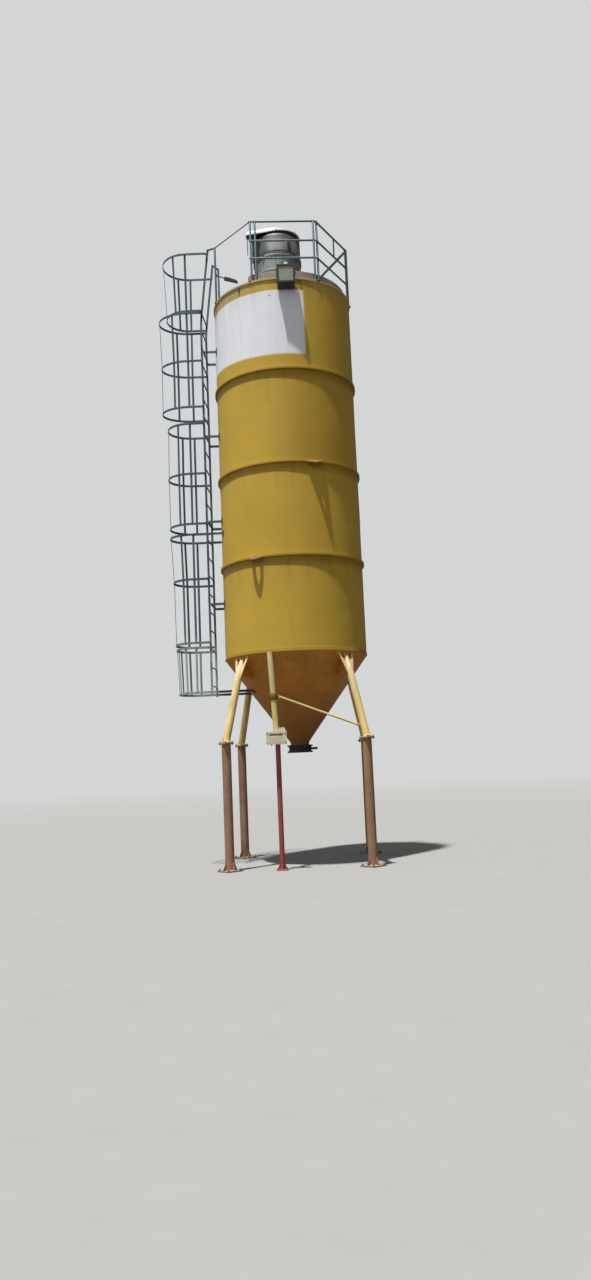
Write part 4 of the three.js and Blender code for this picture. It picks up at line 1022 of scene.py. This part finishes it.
def leg(name, angle):
    """Pipe leg with a notched crown plate whose middle prong is the pipe's narrowed end."""
    side, out, _ = axes_at(angle)
    foot, top = leg_axis(angle)
    upright = (top - foot).normalized()
    s = Shape()
    line = [foot] + [top - upright * drop for drop in (0.260, 0.170, 0.110, 0.020, 0.010)]
    s.tube(line, [LEG_RADIUS, LEG_RADIUS, 0.048, 0.030, 0.022, 0.014], 32, soft=False)
    w = 0.170
    half = [(w * 0.36, -0.300), (w, 0.060), (w * 0.76, 0.060), (w * 0.36, -0.125), (w * 0.17, 0.040)]
    s.plate(half + [(-u, v) for u, v in half[::-1]], top, side, upright, 0.014)
    low = BASE - 0.330
    gusset = [(1.1398, BASE - 0.0138), (1.188, low), (cone_radius(low) + 0.0005, low)]
    s.plate(gusset, (0, 0, 0), out, UP, 0.014, EXTRA)
    s.block(foot, FLANGE, (side, out, UP))
    s.corner_bolts(foot + UP * 0.008, side, out, FLANGE_BOLTS, UP, 0.012)
    s.ribs([(0.050, 0), (0.080, 0), (0.050, 0.085)], foot + UP * 0.008, side, out, 0.008)
    s.weld(foot + upright * 0.004, foot + upright * 0.020, 0.068, LEG_RADIUS, 32)
    s.make(f"leg_{name}", "leg_paint", LEG_PAINT, CONE_PAINT_AND_SHADE)


def post(name, angle):
    side, out, _ = axes_at(angle)
    s = Shape(around(angle, POST_RING))
    top = JOINT - GAP
    under = UP * (top - 0.016)
    s.tube([UP * 0.001, UP * (top - 0.001)], POST_RADIUS, 36, soft=False)
    s.block(UP * (top - 0.008), FLANGE, (side, out, UP))
    s.block(UP * 0.010, (0.280, 0.280, 0.020), (side, out, UP))
    s.corner_bolts(UP * 0.020, side, out, 0.110, UP, 0.020)
    s.corner_bolts(under, side, out, FLANGE_BOLTS, -UP, 0.012)
    s.ribs([(0.066, 0), (0.132, 0), (0.078, 0.120), (0.066, 0.120)], UP * 0.020, side, out, 0.008)
    s.ribs([(0.066, 0), (0.081, 0), (0.066, -0.060)], under, side, out, 0.008)
    s.weld(UP * 0.018, UP * 0.032, 0.082, POST_RADIUS, 36)
    s.weld(UP * (top - 0.024), UP * (top - 0.014), POST_RADIUS, 0.076, 36)
    s.make(f"post_{name}", "red_brown_primer", PRIMER)


def legs():
    for name, angle in LEGS.items():
        leg(name, angle)
        post(name, angle)


# Slim pole, its stand, box and brace

POLE_Y = -1.062
POLE_RADIUS = 0.044
STAND_TOP = BASE - 1.330
CLAMP_Z = BASE - 0.675
CLAMP = 0.053


def pole_at(z):
    return Vector((-0.402 + 0.045 * (BASE - z), POLE_Y, z))


def pole():
    s = Shape()
    low = pole_at(STAND_TOP + GAP)
    pipe_to_vessel(s, low, pole_at(BASE + 0.02), POLE_RADIUS, 28)
    axis = (pole_at(BASE) - low).normalized()
    a, b = pole_at(CLAMP_Z - 0.0525), pole_at(CLAMP_Z + 0.0525)
    middle = (a + b) / 2
    s.tube([a, a + axis * 0.006, b - axis * 0.006, b], [0.049, CLAMP, CLAMP, 0.049], 28, EXTRA)
    for side in (-1, 1):
        s.block(middle + RIGHT * side * 0.055, (0.018, 0.016, 0.080), slot=EXTRA)
        for rise in (-0.024, 0.024):
            s.bolt(middle + Vector((side * 0.056, -0.008, rise)), -BACK, 0.010)
    s.make("slim_pole", "leg_paint", LEG_PAINT, BROWN, bevel=0.001)


def pole_stand():
    s = Shape((-0.332, POLE_Y, 0))
    s.tube([(0, 0, 0.001), (0, 0, STAND_TOP)], 0.038, 28, soft=False)
    s.block((0, 0, 0.006), (0.180, 0.180, 0.012))
    low, high = STAND_TOP - 0.07, STAND_TOP - 0.002
    s.turned([(0.038, low), (0.045, low), (0.045, high), (0.038, high)], 32)
    s.corner_bolts(UP * 0.012, RIGHT, BACK, 0.070, UP, 0.012)
    s.ribs([(0.034, 0), (0.080, 0), (0.034, 0.09)], UP * 0.012, RIGHT, BACK, 0.006)
    s.make("pole_stand", "red_paint", RED, bevel=0.001)


def control_box():
    z, half_depth = BASE - 1.305, 0.0575
    s = Shape((pole_at(z).x, POLE_Y - POLE_RADIUS - GAP - half_depth, z))
    s.block((0, 0, 0), (0.277, 2 * half_depth, 0.167))
    s.block((0, -half_depth, 0), (0.305, 0.024, 0.195))
    s.block((0, -0.0695, -0.026), (0.245, 0.003, 0.095))
    # Dark strip near the box's top: painted shade of a recess
    s.block((-0.008, -0.0700, 0.050), (0.205, 0.003, 0.024), slot=EXTRA)
    for side in (-1, 1):
        s.tube([(-0.1505, -0.0525, side * 0.058 + end) for end in (-0.018, 0.018)], 0.006, 12, METAL)
        s.bolt((0.136, -0.0695, side * 0.062), -BACK, 0.008)
        s.bolt((-0.136, -0.0695, side * 0.078), -BACK, 0.006)
    half = [(0.0625, -0.033), (0.0625, 0.018), (0.050, 0.033)]
    s.plate(half + [(-u, v) for u, v in half[::-1]], (0.070, 0, 0.1175), RIGHT, UP, 0.095)
    gland = [(0, -0.113), (0.013, -0.113), (0.013, -0.092), (0.017, -0.092), (0.017, -0.083), (0, -0.083)]
    for x in (-0.08, 0.0):
        s.turned(gland, 20, (x, 0), slot=METAL)
    s.make("control_box", "cream_plastic", CREAM, SHADE_BROWN, bevel=0.004)


def brace():
    foot, top = leg_axis(LEGS["front_right"])
    leg_end = foot.lerp(top, (BASE - 1.190 - foot.z) / (top.z - foot.z))
    start = pole_at(CLAMP_Z + 0.030)
    along = (leg_end - start).normalized()
    a = start + along * (CLAMP + GAP) / along.xy.length
    b = leg_end - along * 0.0585
    s = Shape()
    s.tube([a + along * 0.05, b - along * 0.05], 0.016, 18)
    side = along.cross(UP).normalized()
    up = side.cross(along).normalized()
    for end, way in ((a, along), (b, -along)):
        s.block(end + way * 0.034, (0.068, 0.008, 0.040), (along, side, up))
        for face in (side, -side):
            s.bolt(end + way * 0.020 + face * 0.004, face, 0.010)
    s.make("pole_brace", "leg_paint", LEG_PAINT, bevel=0.001)


# Lamps


def front_lamp():
    s = Shape()
    x, y, z, arm, toe = 0.088, -1.261, TOP - 0.020, TOP + 0.105, -(TOE_OUTER + GAP)
    w, h, rim, face = 0.290, 0.300, 0.030, -1.321
    for side in (-1, 1):
        s.block((x + side * (w - rim) / 2, face, z), (rim, 0.028, h))
        s.block((x, face, z + side * (h - rim) / 2), (w - 2 * rim, 0.028, rim))
    s.block((x, face, z), (w - 2 * rim - 0.002, 0.008, h - 2 * rim - 0.002), slot=EXTRA)
    body = [(-1.322, -0.160), (-1.172, -0.206), (-1.172, 0.088), (-1.285, 0.116), (-1.322, 0.116)]
    fin = [(-1.308, -0.1785), (-1.168, -0.225), (-1.168, 0.100), (-1.290, 0.130), (-1.308, 0.130)]
    s.plate(body, (x, 0, TOP), BACK, UP, w - 0.040)
    for k in range(10):
        s.plate(fin, (x - 0.135 + k * 0.030, 0, TOP), BACK, UP, 0.007)
    s.block((x + 0.005, -1.285, TOP + 0.160), (0.057, 0.006, 0.060), slot=SPARE)
    handle = [(-0.055, 0.125), (-0.055, 0.215), (0.065, 0.215), (0.065, 0.125)]
    s.tube(fillet([(x + u, -1.280, TOP + v) for u, v in handle], 0.045, 6), 0.008, 12)
    for side in (-1, 1):
        pin = [(x + side * u, y - 0.01, z + 0.02) for u in (w / 2 - 0.004, w / 2 + 0.012)]
        s.tube(pin, 0.016)
        s.block((x + side * (w / 2 + 0.006), y + 0.03, z + 0.055), (0.006, 0.11, 0.10))
    s.block((x, (y + toe) / 2 + 0.03, arm), (0.070, toe - y - 0.06, 0.012))
    low, high = TOP + FOOT, arm + 0.006
    s.block((x, toe - 0.006, (high + low) / 2), (0.070, 0.012, high - low))
    for side in (-1, 1):
        s.bolt((x + side * 0.018, toe - 0.012, arm - 0.040), -BACK, 0.010)
    s.make("floodlight_front", "lamp_grey", LAMP, LENS, WHITE, bevel=0.002)


def side_lamp():
    s = Shape((-0.941, -0.354, TOP + 0.455))
    tilt, half = radians(16), 0.024
    along, up = Vector((cos(tilt), 0, -sin(tilt))), Vector((sin(tilt), 0, cos(tilt)))
    outline = [(0, -half), (0.235, -half), (0.235, -half * 0.2), (0.19, half * 0.6), (0.06, half), (0, half)]
    s.plate(outline, (0, 0, 0), along, up, 0.060)
    s.block(along * 0.125 - up * (half - 0.001), (0.19, 0.046, 0.005), (along, BACK, up))
    for k in range(5):
        s.block(along * (0.03 + k * 0.03) + up * half * 0.9, (0.005, 0.050, 0.012), (along, BACK, up))
    gate, end = Vector((-0.148, 0, 0.060)), Vector((0.030, 0, -0.008))
    way = (end - gate).normalized()
    s.tube(fillet([gate + way * (TUBE + GAP), (gate + end) / 2 + UP * 0.006, end], 0.03), 0.010, 14)
    hold = gate + RIGHT * (TUBE + GAP)
    s.tube([hold - UP * 0.020, hold + RIGHT * 0.001 + UP * 0.020], 0.004, 8, METAL)
    s.block(gate + RIGHT * (TUBE + 0.004), (0.006, 0.040, 0.050))
    s.make("floodlight_side", "lamp_grey", LAMP)


# Floor, light and camera


def ground():
    """Wide pale floor that fades into the background."""
    mesh = bpy.data.meshes.new("floor")
    mesh.from_pydata([(70 * sin(a), 70 * cos(a), -0.0005) for a in turns(96)], [], [list(range(96))[::-1]])
    disc = placed("floor", mesh)
    disc.location = AXIS
    g = Paint("floor")
    seen = g.node("LightPath")["Is Camera Ray"]
    pale = g.mix(g.noise(3.0, 5), (0.27, 0.268, 0.262), (0.30, 0.298, 0.292))
    colour = g.mix(seen, (0.12, 0.118, 0.112), pale)
    diffuse = g.node("BsdfDiffuse", {"Color": colour})[0]
    clear = g.node("BsdfTransparent")[0]
    fade = g.spread(g.distance(g.place), 16.0, 60.0)
    shader = g.node("MixShader", {0: fade, 1: diffuse, 2: clear})[0]
    g.node("OutputMaterial", {"Surface": shader})
    mesh.materials.append(g.owner)


def light():
    """High sun from the left front, and a soft sky that is brighter on that side."""
    sun = bpy.data.lights.new("sun", "SUN")
    sun.energy, sun.angle, sun.color = 5.9, radians(1.6), (1.0, 0.985, 0.955)
    lamp = placed("sun", sun)
    high = radians(76)
    to_sun = around(-36, cos(high), sin(high))
    lamp.rotation_mode = "QUATERNION"
    lamp.rotation_quaternion = (-to_sun).to_track_quat("-Z", "Y")

    world = bpy.data.worlds.new("studio")
    bpy.context.scene.world = world
    g = Graph(world)
    keys = {0: g.places["Generated"], 1: (-0.90, -0.43, 0)}
    toward = g.node("VectorMath", keys, operation="DOT_PRODUCT")["Value"]
    tint = g.mix(g.spread(toward, -1, 1), (0.072, 0.072, 0.076), (0.50, 0.515, 0.535))
    soft = g.node("Background", {0: tint})[0]
    seen = g.node("Background", {0: (0.66, 0.67, 0.675)})[0]
    from_camera = g.node("LightPath")["Is Camera Ray"]
    both = g.node("MixShader", {0: from_camera, 1: soft, 2: seen})[0]
    g.node("OutputWorld", {0: both})


def camera():
    """Camera at the photograph's place, which looks up a little and leans to the side."""
    data = bpy.data.cameras.new("camera")
    eye = placed("camera", data)
    focal_px, height_px, sensor = 953.14, 1280, 36
    data.sensor_width, data.sensor_fit, data.lens = sensor, "AUTO", focal_px / height_px * sensor
    data.clip_start, data.clip_end = 0.1, 400
    yaw, pitch, roll = radians(-0.003), radians(7.471), radians(-2.420)
    forward = Vector((sin(yaw) * cos(pitch), cos(yaw) * cos(pitch), sin(pitch)))
    right = Vector((cos(yaw), -sin(yaw), 0))
    up = right.cross(forward)
    level_right = right * cos(roll) + up * sin(roll)
    level_up = -right * sin(roll) + up * cos(roll)
    turn = Matrix((level_right, level_up, -forward)).transposed()
    eye.matrix_world = Matrix.Translation(AXIS + Vector((0, -15.486, 1.531))) @ turn.to_4x4()
    bpy.context.scene.camera = eye
    bpy.context.scene.view_settings.view_transform = "Standard"


for build in (shell, rings, roof, hatch, filter_drum, filter_head, hood, rails, toe_board, gate_posts, ladder,
              brackets, cage, cone, valve, legs, pole, pole_stand, control_box, brace, front_lamp, side_lamp,
              ground, light, camera):
    build()
